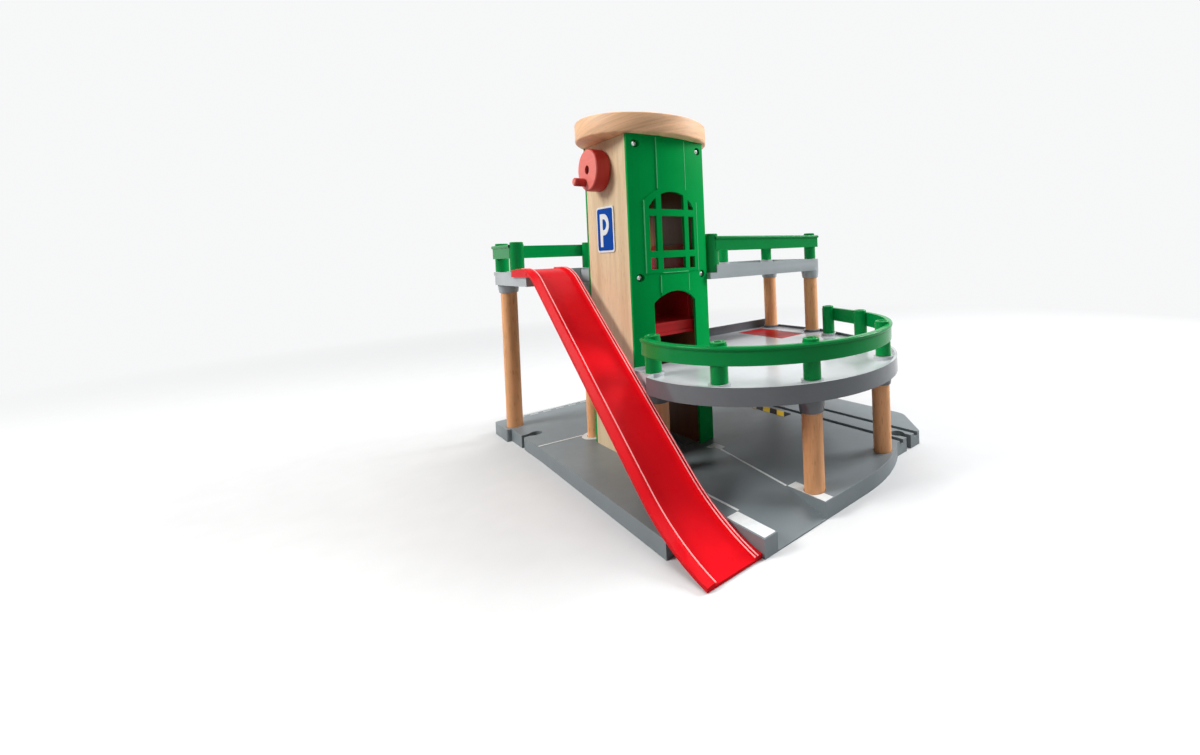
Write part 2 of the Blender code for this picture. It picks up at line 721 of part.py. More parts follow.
def window(body, face):
    """Cut the arched window and leave its bars."""
    ends = sorted((face * (BOARD_HALF - 2 * SINK), face * (PANEL_APEX + PAST)))
    opening = extrude("window", arch(WINDOW_HALF, WINDOW_BOTTOM, WINDOW_SPRING, WINDOW_TOP),
                      *ends, "Y")
    reach = WINDOW_HALF + PAST
    bars = []
    for side in (-1, 1):
        x = side * BAR_X
        bars.append(box("bar", x - BAR_WIDTH / 2, x + BAR_WIDTH / 2, ends[0] - PAST,
                        ends[1] + PAST, WINDOW_BOTTOM - PAST, WINDOW_TOP + PAST))
    for z in (BAR_LOW_Z, BAR_HIGH_Z):
        bars.append(box("bar", -reach, reach, ends[0] - PAST, ends[1] + PAST,
                        z - BAR_HEIGHT / 2, z + BAR_HEIGHT / 2))
    cut(opening, *bars)
    return cut(body, opening)


def panels():
    ground = arch(DOOR_HALF, -PAST, GROUND_DOOR_TOP - DOOR_RISE, GROUND_DOOR_TOP)
    doors = []
    for floor, bottom in ((MID_TOP, MID_BOTTOM), (UPPER_TOP, UPPER_BOTTOM)):
        top = floor + DOOR_CLEAR
        doors.append(arch(DOOR_HALF, bottom - GAP, top - DOOR_RISE, top))
    front = panel("tower_front_panel", -1, (ground, doors[0]))
    finish(window(front, -1), GREEN)
    finish(panel("tower_back_panel", 1, (ground, doors[1])), GREEN)


def screws(side_name, face):
    """The four screws of one panel, each in its pocket."""
    seat = BOARD_HALF + GAP + SCREW_SEAT + GAP
    profile = ((seat - SCREW_LENGTH, SCREW_SHANK), (seat, SCREW_SHANK), (seat, SCREW_HEAD),
               (seat + SCREW_HEAD_HEIGHT * 0.5, SCREW_HEAD),
               (seat + SCREW_HEAD_HEIGHT, SCREW_HEAD * 0.6))
    profile = [(face * along, radius) for along, radius in profile]
    for row, z in zip(("low", "high"), SCREW_ROWS):
        for hand, side in (("left", -1), ("right", 1)):
            name = f"screw_{side_name}_{row}_{hand}"
            finish(turned(name, profile, "Y", (side * SCREW_X, z), SMALL_SEGMENTS), STEEL, 1.0)


def lid():
    """The round wooden top and the dowels that hold it on the boards."""
    low = TOWER_TOP
    high = TOWER_TOP + LID_THICKNESS
    edge = LID_RADIUS - LID_ROUND
    profile = [(low, edge)]
    profile += [(low + LID_ROUND - b, edge + a) for a, b in arc(0, 0, LID_ROUND, 60, 0, 2)]
    profile += [(high - LID_ROUND + b, edge + a) for a, b in arc(0, 0, LID_ROUND, 0, 60, 2)]
    profile += [(high, edge)]
    body = turned("tower_lid", profile, "Z", (0.0, 0.0), 48)
    spots = [(i * LID_DOWEL_X, j * LID_DOWEL_SPREAD) for i in (-1, 1) for j in (-1, 1)]
    half = LID_DOWEL_LENGTH / 2
    cut(body, *[rod("hole", "Z", spot, low - SINK, low + half + GAP,
                    LID_DOWEL_RADIUS + SLIP, SMALL_SEGMENTS) for spot in spots])
    finish(body, BEECH)
    names = ("near_left", "far_left", "near_right", "far_right")
    for name, spot in zip(names, spots):
        finish(rod("lid_dowel_" + name, "Z", spot, low - half, low + half, LID_DOWEL_RADIUS,
                   SMALL_SEGMENTS), BEECH)


def crank():
    """The red wheel with its peg, the axle through the board and the cord drum."""
    near = -TOWER_HALF - RUN
    far = near - KNOB_THICKNESS
    bore = AXLE_RADIUS + SLIP
    hub = far + KNOB_HUB_DEPTH
    profile = ((near, bore), (near, KNOB_RADIUS - KNOB_ROUND), (near - KNOB_ROUND, KNOB_RADIUS),
               (far + KNOB_ROUND, KNOB_RADIUS), (far, KNOB_RADIUS - KNOB_ROUND),
               (far, KNOB_HUB), (hub, KNOB_HUB), (hub, bore))
    wheel = turned("knob_wheel", profile, "X", (WHEEL_Y, WHEEL_Z), 36, bored=True)
    spot = (WHEEL_Y + PEG_OFFSET_Y, WHEEL_Z + PEG_OFFSET_Z)
    cut(wheel, rod("hole", "X", spot, far - SINK, far + PEG_SPIGOT + GAP,
                   PEG_SPIGOT_RADIUS + SLIP, SMALL_SEGMENTS))
    finish(wheel, WHEEL_RED)

    tip = far - PEG_OUT
    face = far - GAP
    profile = ((tip, PEG_RADIUS - PEG_ROUND), (tip + PEG_ROUND, PEG_RADIUS), (face, PEG_RADIUS),
               (face, PEG_SPIGOT_RADIUS), (far + PEG_SPIGOT, PEG_SPIGOT_RADIUS))
    finish(turned("crank_peg", profile, "X", spot, 16), RED)
    finish(rod("knob_axle", "X", (WHEEL_Y, WHEEL_Z), hub - SINK, DRUM_INNER - GAP,
               AXLE_RADIUS, SMALL_SEGMENTS, AXLE_CHAMFER), STEEL, 1.0)
    pulley("lift_drum", WHEEL_Z)
    pulley("idler_pulley", IDLER_Z)
    finish(rod("idler_pin", "X", (WHEEL_Y, IDLER_Z), IDLER_PIN_END, DRUM_INNER - GAP,
               AXLE_RADIUS, SMALL_SEGMENTS, AXLE_CHAMFER), STEEL, 1.0)


def pulley(name, z):
    """A flanged wheel for the cord, bored for its axle."""
    bore = AXLE_RADIUS + SLIP
    side = DRUM_FLANGE_THICKNESS
    profile = ((DRUM_OUTER, bore), (DRUM_OUTER, DRUM_FLANGE), (DRUM_OUTER + side, DRUM_FLANGE),
               (DRUM_OUTER + side, DRUM_GROOVE), (DRUM_INNER - side, DRUM_GROOVE),
               (DRUM_INNER - side, DRUM_FLANGE), (DRUM_INNER, DRUM_FLANGE), (DRUM_INNER, bore))
    finish(turned(name, profile, "X", (WHEEL_Y, z), 20, bored=True), RED)


def lift_cord():
    """The endless cord from the drum round the idler, in the gap beside the car."""
    path = arc(WHEEL_Y, WHEEL_Z, CORD_REACH, 0, 180, 10)
    path += arc(WHEEL_Y, IDLER_Z, CORD_REACH, 180, 360, 10)
    bm = bmesh.new()
    rings = []
    sides = 6
    count = len(path)
    for i, (y, z) in enumerate(path):
        centre_z = WHEEL_Z if i <= 10 else IDLER_Z
        out = Vector((0.0, y - WHEEL_Y, z - centre_z)).normalized()
        ring = []
        for k in range(sides):
            angle = 2 * math.pi * k / sides
            spoke = out * math.cos(angle) + Vector((1.0, 0.0, 0.0)) * math.sin(angle)
            ring.append(bm.verts.new(Vector((CORD_X, y, z)) + spoke * CORD_RADIUS))
        rings.append(ring)
    for i in range(count):
        a, b = rings[i], rings[(i + 1) % count]
        for k in range(sides):
            m = (k + 1) % sides
            bm.faces.new((a[k], b[k], b[m], a[m]))
    finish(new_object("lift_cord", mesh_from(bm, "lift_cord")), CORD)


def lift_car():
    """The open red car: a thick floor between two walls, runners, and the cord's lug."""
    low = CAR_FLOOR_TOP - CAR_FLOOR
    body = box("lift_car", CAR_LEFT, CAR_RIGHT, -CAR_HALF_DEPTH, CAR_HALF_DEPTH,
               low, CAR_FLOOR_TOP)
    foot = CAR_FLOOR_TOP - CAR_FLOOR / 2
    wall = rounded([(-CAR_WALL_HALF, foot, 0.0), (CAR_WALL_HALF, foot, 0.0),
                    (CAR_WALL_HALF, CAR_TOP, CAR_ROUND), (-CAR_WALL_HALF, CAR_TOP, CAR_ROUND)],
                   5)
    parts = [extrude("wall", wall, CAR_LEFT + HAIR, CAR_LEFT + CAR_WALL, "X"),
             extrude("wall", wall, CAR_RIGHT - CAR_WALL, CAR_RIGHT - HAIR, "X")]
    for side in (-1, 1):
        y = side * RUNNER_Y
        edges = sorted((y - RUNNER_HALF, y + RUNNER_HALF))
        parts.append(box("runner", DRUM_OUTER, CAR_LEFT + CAR_WALL / 2, *edges,
                         low + CAR_LIP, CAR_TOP - 2 * CAR_ROUND))
    cord_y = WHEEL_Y + CORD_REACH
    parts.append(box("lug", CORD_X - LUG_SIDE, CAR_LEFT + CAR_WALL / 2, cord_y - LUG_SIDE,
                     cord_y + LUG_SIDE, LUG_Z - LUG_HALF, LUG_Z + LUG_HALF))
    join(body, *parts)
    grooves = []
    for side in (-1, 1):
        ends = sorted((side * (CAR_HALF_DEPTH - CAR_LIP_DEPTH), side * (CAR_HALF_DEPTH + SINK)))
        grooves.append(box("groove", CAR_LEFT - SINK, CAR_RIGHT + SINK, *ends,
                           low + CAR_LIP, CAR_FLOOR_TOP - CAR_LIP))
    cut(body, *grooves, rod("cord hole", "Z", (CORD_X, cord_y), LUG_Z - 2 * LUG_HALF,
                            LUG_Z + 2 * LUG_HALF, CORD_RADIUS + SLIP, 8))
    finish(body, RED)


def parking_sign():
    half_y = SIGN_WIDTH / 2
    half_z = SIGN_HEIGHT / 2
    plate = rounded([(SIGN_Y + i * half_y, SIGN_Z + j * half_z, SIGN_CORNER)
                     for i, j in ((-1, -1), (1, -1), (1, 1), (-1, 1))])
    face = -TOWER_HALF - GAP
    finish(extrude("parking_sign", plate, face - SIGN_THICKNESS, face, "X"), SIGN_BLUE)


def collar(spot, bottom, height):
    """A slightly conical sleeve under a deck, which takes a column's end."""
    foot = bottom - height
    profile = ((foot, COLLAR_LOW), (foot + 2 * COLLAR_EDGE, COLLAR_LOW + COLLAR_EDGE),
               (bottom - COLLAR_STRAIGHT, COLLAR_HIGH), (bottom + SINK, COLLAR_HIGH))
    return turned("collar", profile, "Z", spot)


def deck(name, outline, top, collar_spots, collar_height, posts):
    """A deck moulding: slab with a rim, pads under the posts, collars and sockets."""
    bottom = top - DECK_THICKNESS
    floor = top - DECK_RECESS
    body = extrude(name, outline, bottom, top)
    cut(body, extrude("recess", offset(outline, DECK_RIM), floor, top + PAST))
    pads = [rod("pad", "Z", spot, floor - SINK, top, POST_RADIUS + POST_PAD) for spot in posts]
    join(body, *pads, *[collar(spot, bottom, collar_height) for spot in collar_spots])
    seat = bottom - collar_height
    holes = [rod("peg hole", "Z", spot, top - POST_PEG_LENGTH - GAP, top + PAST,
                 POST_PEG + SLIP, SMALL_SEGMENTS) for spot in posts]
    holes += [rod("socket", "Z", spot, seat - SINK, seat + COLUMN_SEAT,
                  COLUMN_RADIUS + SLIP) for spot in collar_spots]
    return cut(body, *holes)


def tongue(face):
    """Edge of a deck along a panel, with the tongue that reaches into the panel's door."""
    step = (TOWER_HALF - TONGUE_HALF) / TONGUE_STEPS
    wide = [TOWER_HALF + GAP]
    wide += [TONGUE_HALF + step * i for i in reversed(range(TONGUE_STEPS))]
    side = [(x, panel_depth(min(x, TOWER_HALF)) + GAP) for x in wide]
    tip = BOARD_HALF + 2 * GAP
    edge = side + [(TONGUE_HALF, tip), (-TONGUE_HALF, tip)]
    edge += [(-x, y) for x, y in reversed(side)]
    return [(x, face * y) for x, y in edge]


def mid_deck():
    """The middle deck, with a round front, a raised back edge and the trapdoor's opening."""
    front = mid_ring(MID_RADIUS, first=MID_START, run=0.0, steps=40)
    last = Vector(front[-1])
    lean = math.radians(360.0 + MID_TANGENT)
    run = (MID_SIDE - last.x) / -math.sin(lean)
    corner = (MID_SIDE, last.y + run * math.cos(lean))
    outline = tongue(-1) + [(LOBE_X, LOBE_Y), (LOBE_X, LOBE_FRONT)] + front
    outline += [corner, (MID_SIDE, MID_BACK), (TOWER_HALF + GAP, MID_BACK)]
    spots = [*FRONT_COLUMNS.values(), *REAR_POINTS]
    body = deck("mid_deck", outline, MID_TOP, spots, MID_COLLAR, MID_POSTS)
    lip = box("lip", TOWER_HALF + 2 * GAP, MID_SIDE - GAP, MID_BACK - BACK_LIP_THICKNESS,
              MID_BACK - GAP, MID_FLOOR - SINK, MID_TOP + BACK_LIP)
    pads = [rod("pad", "Z", spot, MID_FLOOR - SINK, MID_TOP, COLUMN_RADIUS + POST_PAD)
            for spot in REAR_POINTS]
    join(body, lip, *pads)
    low = MID_BOTTOM - PAST
    pin = (TRAP_AXIS_Y, TRAP_AXIS_Z)
    cut(body,
        box("exit", -TONGUE_HALF - PAST, TONGUE_HALF + PAST, -PANEL_APEX - DECK_RIM - SINK, 0.0,
            MID_FLOOR, MID_TOP + PAST),
        box("trap opening", TRAP_LEFT, TRAP_RIGHT, TRAP_NEAR, TRAP_FAR, low, MID_TOP + PAST),
        box("tab slot", TRAP_RIGHT - SINK, MID_SIDE + PAST, TAB_Y - TAB_HALF - RUN,
            TAB_Y + TAB_HALF + RUN, low, MID_FLOOR - TAB_DROP + RUN),
        rod("pin hole", "X", pin, TRAP_LEFT - TRAP_PIN_REACH - GAP,
            TRAP_RIGHT + TRAP_PIN_REACH + GAP, TRAP_PIN + SLIP, SMALL_SEGMENTS),
        *[rod("socket", "Z", spot, MID_TOP - REAR_SEAT, MID_TOP + PAST, COLUMN_RADIUS + SLIP)
          for spot in REAR_POINTS])
    finish(body, GREY)


def upper_deck():
    """The upper deck: a parking place right of the tower, a strip behind it, and the
    ramp's start at the left."""
    bend = arc(BEND_X, BEND_Y, UPPER_BEND, 270, 180, 10)
    corners = [(TOWER_HALF + GAP, UPPER_NEAR, 0.0), (UPPER_RIGHT, UPPER_NEAR, RIGHT_CORNER),
               (UPPER_RIGHT, UPPER_FAR, RIGHT_CORNER)]
    corners += [(x, y, 0.0) for x, y in bend]
    corners += [(UPPER_STRIP, UPPER_BACK, STRIP_CORNER), (UPPER_LEFT, UPPER_BACK, STRIP_CORNER),
                (UPPER_LEFT, UPPER_FRONT, 0.0), (UPPER_STEP, UPPER_FRONT, 0.0)]
    edge = [point for point in reversed(tongue(1)) if point[0] > UPPER_STEP + 2 * DECK_RIM]
    outline = rounded(corners)
    outline += [(UPPER_STEP, panel_depth(UPPER_STEP) + GAP)] + edge
    spots = [*TALL_COLUMNS.values(), *REAR_POINTS]
    posts = RIGHT_POSTS + BACK_POSTS
    body = deck("upper_deck", outline, UPPER_TOP, spots, UPPER_COLLAR, posts)
    near_post = (NEAR_POST_X, RAIL_NEAR_Y)
    high = UPPER_TOP + PAST
    cut(body,
        box("exit", -TONGUE_HALF - PAST, TONGUE_HALF + PAST, 0.0,
            PANEL_APEX + DECK_RIM + SINK, UPPER_FLOOR, high),
        box("ramp place", UPPER_LEFT - PAST, RAMP_RIGHT + GAP, UPPER_FRONT - PAST,
            RAMP_FLAT_END, UPPER_FLOOR, high),
        box("notch", TOWER_HALF - SINK, NOTCH_RIGHT, UPPER_NEAR - PAST, NOTCH_BACK,
            NOTCH_FLOOR, high),
        rod("post pocket", "Z", near_post, NOTCH_FLOOR, high, POST_RADIUS + GAP),
        rod("peg hole", "Z", near_post, NOTCH_FLOOR - POST_PEG_LENGTH - GAP, high,
            POST_PEG + SLIP, SMALL_SEGMENTS))
    finish(body, GREY)


def post(spot, top, foot=None):
    """A railing post with its cap and the peg that stands in the deck."""
    foot = (top if foot is None else foot) + GAP
    head = top + POST_HEIGHT
    profile = ((foot - POST_PEG_LENGTH, POST_PEG), (foot, POST_PEG), (foot, POST_RADIUS),
               (head - POST_CAP_HEIGHT, POST_RADIUS), (head - POST_CAP_HEIGHT, POST_CAP),
               (head - POST_ROUND, POST_CAP), (head, POST_CAP - POST_ROUND),
               (head, POST_CUP), (head - POST_CUP_DEPTH, POST_CUP - POST_ROUND))
    return turned("post", profile, "Z", spot, 20)


def railing(name, inner, face, bead, top, posts):
    """A band with a proud bead along its top edge, joined to its posts. The band's inner
    side, its face and the face of the bead are three lines of as many points."""
    low = top + BAND_LOW
    high = top + BAND_HIGH
    edge = high - BEAD_HEIGHT
    section = ((inner, low), (face, low), (face, edge), (bead, edge), (bead, high),
               (inner, high))
    bm = bmesh.new()
    lines = [[bm.verts.new((x, y, z)) for x, y in line] for line, z in section]
    for a, b in zip(lines, lines[1:] + lines[:1]):
        for i in range(len(inner) - 1):
            bm.faces.new((a[i], a[i + 1], b[i + 1], b[i]))
    for end in (0, -1):
        bm.faces.new([line[end] for line in lines])
    band = new_object(name, mesh_from(bm, name))
    finish(join(band, *posts), GREEN)


def upper_railing(name, path, posts):
    """A railing along a path through the middles of its posts, with its face outside."""
    out = POST_RADIUS + GAP
    railing(name, shifted(path, out - BAND_THICKNESS), shifted(path, out),
            shifted(path, out + BEAD_OUT), UPPER_TOP, posts)


def railings():
    radii = (BAND_RING - BAND_THICKNESS, BAND_RING - BEAD_OUT, BAND_RING)
    lines = [mid_ring(radius, LEFT_ANGLE - BAND_OVERHANG, END_POST_RUN) for radius in radii]
    railing("mid_railing", *lines, MID_TOP, [post(p, MID_TOP) for p in MID_POSTS])

    path = [(NEAR_POST_X, RAIL_NEAR_Y), (RAIL_RIGHT_X, RAIL_NEAR_Y),
            (RAIL_RIGHT_X, RAIL_FAR_Y)]
    path += arc(BEND_X, BEND_Y, BEND_RADIUS, 270, 180, 10) + [STRIP_POST]
    posts = [post(p, UPPER_TOP) for p in RIGHT_POSTS]
    posts.append(post((NEAR_POST_X, RAIL_NEAR_Y), UPPER_TOP, NOTCH_FLOOR))
    upper_railing("upper_railing_right", path, posts)
    path = [BACK_POSTS[3], BACK_POSTS[1], BACK_POSTS[0]]
    upper_railing("upper_railing_back", path, [post(p, UPPER_TOP) for p in BACK_POSTS])


def columns():
    mid_seat = MID_BOTTOM - MID_COLLAR + COLUMN_SEAT
    upper_seat = UPPER_BOTTOM - UPPER_COLLAR + COLUMN_SEAT
    stands = []
    for name, spot in FRONT_COLUMNS.items():
        stands.append((name, spot, FOOT_Z, mid_seat))
    for name, spot in REAR_COLUMNS.items():
        stands.append((name + "_lower", spot, FOOT_Z, mid_seat))
        stands.append((name + "_upper", spot, MID_TOP - REAR_SEAT, upper_seat))
    for name, spot in TALL_COLUMNS.items():
        stands.append((name, spot, FOOT_Z, upper_seat))
    for name, spot, low, high in stands:
        finish(rod(name, "Z", spot, low + GAP, high - GAP, COLUMN_RADIUS, ROUND_SEGMENTS,
                   COLUMN_CHAMFER), BEECH)


def ramp_line():
    """Side line of the ramp's floor, as (y, z, slope angle) from its hook to its foot."""
    angle = math.radians(RAMP_ANGLE)
    end = math.radians(RAMP_END_ANGLE)
    floor = UPPER_TOP + GAP + RAMP_FLOOR
    line = [(RAMP_START, floor, 0.0)]
    for i in range(CROWN_STEPS + 1):
        a = angle * i / CROWN_STEPS
        line.append((RAMP_FLAT_END - RAMP_TOP_RADIUS * math.sin(a),
                     floor - RAMP_TOP_RADIUS * (1 - math.cos(a)), a))
    y, z, _ = line[-1]
    across = y - RAMP_FOOT
    down = z - RAMP_FLOOR - RAMP_FOOT_GAP
    bend_across = math.sin(angle) - math.sin(end)
    bend_down = math.cos(end) - math.cos(angle)
    scale = math.cos(angle) * bend_down - math.sin(angle) * bend_across
    radius = (math.cos(angle) * down - math.sin(angle) * across) / scale
    straight = (across - radius * bend_across) / math.cos(angle)
    y -= straight * math.cos(angle)
    z -= straight * math.sin(angle)
    for i in range(FOOT_STEPS + 1):
        a = angle + (end - angle) * i / FOOT_STEPS
        line.append((y - radius * (math.sin(angle) - math.sin(a)),
                     z - radius * (math.cos(a) - math.cos(angle)), a))
    return line


def ramp_section(wall):
    """Outline across the ramp, as (x, height above the floor), for a wall height. Each wall
    slopes up from a low outer edge to a flat ridge beside the floor."""
    edge = min(RAMP_EDGE, wall)
    foot = RAMP_WALL
    ridge_in = RAMP_WALL - RAMP_LEAN * wall / RAMP_WALL_HEIGHT
    ridge_out = ridge_in - RAMP_RIDGE
    right = [(RAMP_RIGHT, -RAMP_FLOOR), (RAMP_RIGHT, edge), (RAMP_RIGHT - ridge_out, wall),
             (RAMP_RIGHT - ridge_in, wall), (RAMP_RIGHT - foot, 0.0)]
    left = [(RAMP_LEFT + foot, 0.0), (RAMP_LEFT + ridge_in, wall), (RAMP_LEFT + ridge_out, wall),
            (RAMP_LEFT, edge), (RAMP_LEFT, -RAMP_FLOOR)]
    return right + left


def slide_ramp():
    """The red channel: its plate lies on the upper deck, a hook runs along the deck's left
    side, and its foot lies flat on the ground."""
    line = ramp_line()
    walls = [RAMP_START_WALL] * 2
    walls += [RAMP_START_WALL + (RAMP_WALL_HEIGHT - RAMP_START_WALL) * i / CROWN_STEPS
              for i in range(1, CROWN_STEPS + 1)]
    walls += [RAMP_WALL_HEIGHT + (RAMP_END_WALL - RAMP_WALL_HEIGHT) * (i / FOOT_STEPS) ** 2
              for i in range(FOOT_STEPS + 1)]
    bm = bmesh.new()
    rings = []
    for (y, z, a), wall in zip(line, walls):
        up = Vector((0.0, -math.sin(a), math.cos(a)))
        rings.append([bm.verts.new(Vector((x, y, z)) + up * h) for x, h in ramp_section(wall)])
    count = len(rings[0])
    for a, b in zip(rings, rings[1:]):
        for i in range(count):
            j = (i + 1) % count
            bm.faces.new((a[i], b[i], b[j], a[j]))
    for ring in (rings[0], rings[-1]):
        for corners in ((0, 1, 2, 3, 4), (0, 4, 5, 9), (5, 6, 7, 8, 9)):
            bm.faces.new([ring[i] for i in corners])
    body = new_object("slide_ramp", mesh_from(bm, "slide_ramp"))
    low = UPPER_TOP - RAMP_SKIRT
    top = UPPER_TOP + GAP + RAMP_FLOOR - HAIR
    side = [(RAMP_ARM, low), (RAMP_ARM, top), (RAMP_FLAT_END, top)]
    side += [(y, z - RAMP_FLOOR / 2) for y, z, _ in line[2:] if z - RAMP_FLOOR > low]
    side.append((side[-1][0], low))
    skirt = extrude("skirt", side, RAMP_LEFT + HAIR, UPPER_LEFT - GAP, "X")
    finish(join(body, skirt), RED)


def trapdoor():
    """The plate over the train lane, tilting on a pin when its tab is pressed."""
    top = MID_FLOOR
    body = box("trapdoor", TRAP_LEFT + RUN, TRAP_RIGHT - RUN, TRAP_NEAR + RUN,
               TRAP_FAR - RUN, top - TRAP_THICKNESS, top)
    tab_top = top - TAB_DROP
    tab_low = tab_top - TAB_THICKNESS
    root = TRAP_RIGHT - TAB_ROOT
    spring_room = TRAP_LEFT + RUN + (SPRING_TURNS + 1.5) * SPRING_PITCH
    pin = (TRAP_AXIS_Y, TRAP_AXIS_Z)
    web = box("web", root, TRAP_RIGHT - 2 * RUN, TAB_Y - TAB_HALF, TAB_Y + TAB_HALF,
              tab_low, top - TRAP_THICKNESS / 2)
    tab = box("tab", root + SINK, MID_SIDE + TAB_OUT, TAB_Y - TAB_HALF + HAIR,
              TAB_Y + TAB_HALF - HAIR, tab_low + HAIR, tab_top)
    barrel = rod("barrel", "X", pin, spring_room, TRAP_RIGHT - 2 * RUN, TRAP_BARREL, 16)
    join(body, web, tab, barrel)
    coil = TRAP_PIN + SLIP + 2 * SPRING_WIRE
    cut(body,
        rod("bore", "X", pin, TRAP_LEFT - SINK, TRAP_RIGHT + SINK, TRAP_PIN + SLIP,
            SMALL_SEGMENTS),
        rod("spring room", "X", pin, TRAP_LEFT - SINK, spring_room, coil + SLIP, 16))
    finish(body, RED)
    finish(rod("trap_hinge_pin", "X", pin, TRAP_LEFT - TRAP_PIN_REACH,
               TRAP_RIGHT + TRAP_PIN_REACH, TRAP_PIN, SMALL_SEGMENTS), STEEL, 1.0)

    curve = bpy.data.curves.new("trap_spring", "CURVE")
    curve.dimensions = "3D"
    curve.bevel_depth = SPRING_WIRE
    curve.bevel_resolution = 1
    curve.use_fill_caps = True
    spline = curve.splines.new("POLY")
    steps = 10
    count = SPRING_TURNS * steps + 1
    spline.points.add(count - 1)
    radius = TRAP_PIN + SLIP + SPRING_WIRE
    start = TRAP_LEFT + RUN + SPRING_WIRE
    for i in range(count):
        angle = 2 * math.pi * i / steps
        x = start + SPRING_PITCH * i / steps
        spline.points[i].co = (x, TRAP_AXIS_Y + radius * math.cos(angle),
                               TRAP_AXIS_Z + radius * math.sin(angle), 1.0)
    spring = bpy.data.objects.new("trap_spring", curve)
    bpy.context.scene.collection.objects.link(spring)
    finish(bake_curve(spring), STEEL, 1.0)


def bake_curve(obj):
    """Turn a curve object into a mesh object under its own name."""
    graph = bpy.context.evaluated_depsgraph_get()
    mesh = bpy.data.meshes.new_from_object(obj.evaluated_get(graph))
    name = obj.name
    bpy.data.objects.remove(obj, do_unlink=True)
    return new_object(name, mesh)


base()
board("tower_side_left", -1)
board("tower_side_right", 1)
panels()
screws("front", -1)
screws("back", 1)
lid()
crank()
lift_cord()
lift_car()
parking_sign()
mid_deck()
upper_deck()
railings()
columns()
slide_ramp()
trapdoor()


def pivot(name, position, nodes):
    """An empty on a joint's axis that carries the pieces the joint moves."""
    empty = bpy.data.objects.new(name, None)
    empty.location = position
    empty.empty_display_size = 0.01
    bpy.context.scene.collection.objects.link(empty)
    bpy.context.view_layer.update()
    for node in nodes:
        child = bpy.data.objects[node]
        child.parent = empty
        child.matrix_parent_inverse = empty.matrix_world.inverted()


pivot("knob_turn", (-TOWER_HALF, WHEEL_Y, WHEEL_Z),
      ("knob_wheel", "crank_peg", "knob_axle", "lift_drum"))
pivot("idler_turn", (-BOARD_INNER, WHEEL_Y, IDLER_Z), ("idler_pulley",))
pivot("lift_slide", ((CAR_LEFT + CAR_RIGHT) / 2, 0.0, CAR_FLOOR_TOP), ("lift_car",))
pivot("trap_tilt", ((TRAP_LEFT + TRAP_RIGHT) / 2, TRAP_AXIS_Y, TRAP_AXIS_Z), ("trapdoor",))
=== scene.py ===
import math

import bmesh
import bpy
from mathutils import Matrix, Vector
from mathutils.geometry import tessellate_polygon


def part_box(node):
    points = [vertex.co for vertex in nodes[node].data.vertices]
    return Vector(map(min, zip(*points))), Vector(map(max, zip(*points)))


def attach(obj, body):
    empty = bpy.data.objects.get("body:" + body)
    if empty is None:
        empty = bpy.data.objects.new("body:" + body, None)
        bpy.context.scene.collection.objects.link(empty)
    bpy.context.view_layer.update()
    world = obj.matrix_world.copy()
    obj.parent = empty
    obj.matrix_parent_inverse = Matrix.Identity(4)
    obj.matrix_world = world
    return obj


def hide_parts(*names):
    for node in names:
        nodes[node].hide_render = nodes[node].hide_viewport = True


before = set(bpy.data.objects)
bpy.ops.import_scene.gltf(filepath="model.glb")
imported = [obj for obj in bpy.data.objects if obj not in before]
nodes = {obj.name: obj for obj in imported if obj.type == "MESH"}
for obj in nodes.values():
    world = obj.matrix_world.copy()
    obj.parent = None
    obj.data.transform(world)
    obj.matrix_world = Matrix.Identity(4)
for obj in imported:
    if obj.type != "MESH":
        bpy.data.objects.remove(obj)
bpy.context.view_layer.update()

# Base colours, linear.
WOOD_BOARD = (0.76, 0.590, 0.380)
WOOD_LID = (0.87, 0.520, 0.300)
WOOD_COLUMN = (0.88, 0.435, 0.203)
PANEL_GREEN = (0.001, 0.330, 0.066)
RAIL_GREEN = (0.001, 0.260, 0.056)
# Paler green that paints a highlight on the panels' fine ridges.
BEAD_GREEN_HIGHLIGHT = (0.100, 0.520, 0.220)
RED = (0.75, 0.007, 0.014)
KNOB_RED = (0.46, 0.022, 0.016)
# Painted sheen: the paler colour of the knob's flat, lit faces.
KNOB_FACE_PAINTED_SHEEN = (0.86, 0.200, 0.165)
BASE_GREY = (0.200, 0.232, 0.247)
# Pale red that paints a highlight on the ramp's ridge edges.
BEAD_RED_HIGHLIGHT = (0.95, 0.40, 0.40)
# The moulded red darkened by painted shade, for the car inside the tower.
CAR_RED_SHADED = (0.50, 0.014, 0.018)
# The moulded red darkened by painted shade, for the trapdoor.
TRAP_RED_SHADED = (0.50, 0.010, 0.012)
# The decks' one grey: painted paler on the lit tops and darker on the shaded walls.
DECK_LIT_TOP = (0.520, 0.535, 0.560)
MID_WALL_SHADED = (0.140, 0.152, 0.166)
UPPER_WALL_SHADED = (0.400, 0.435, 0.455)
WHITE = (0.80, 0.83, 0.83)
YELLOW = (0.86, 0.56, 0.020)
BLACK = (0.020, 0.020, 0.022)
BLUE = (0.001, 0.060, 0.360)

# Places on the part, in metres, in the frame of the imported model.
BASE_TOP = 0.013
PAINT = 0.00015            # how far a printed field stands above what carries it
PAINT_ROOT = 0.0003        # how deep it reaches into it
RELIEF = 0.0006            # height of the panels' raised fields
BOARD_INNER = 0.0267       # the boards' inner faces lie this far from the middle plane
# Within this circle and above this height the mid deck's floor takes the painted light of its
# lit tops.
MID_LIT_DISC = (0.0685, -0.0920, 0.1210, 0.0850)  # x, y and radius of the floor, and its height

# Values of the materials.
LOW_NOISE = 0.30           # most of a noise lies between these two
HIGH_NOISE = 0.70
FINE_BUMP = 0.0001         # bump distances in metres
GRAIN_BUMP = 0.0002
CLOUD_SCALE = 34.0
SCUFF_SCALE = 90.0
FIBRE_SCALE = 560.0
FLECK_SCALE = 900.0
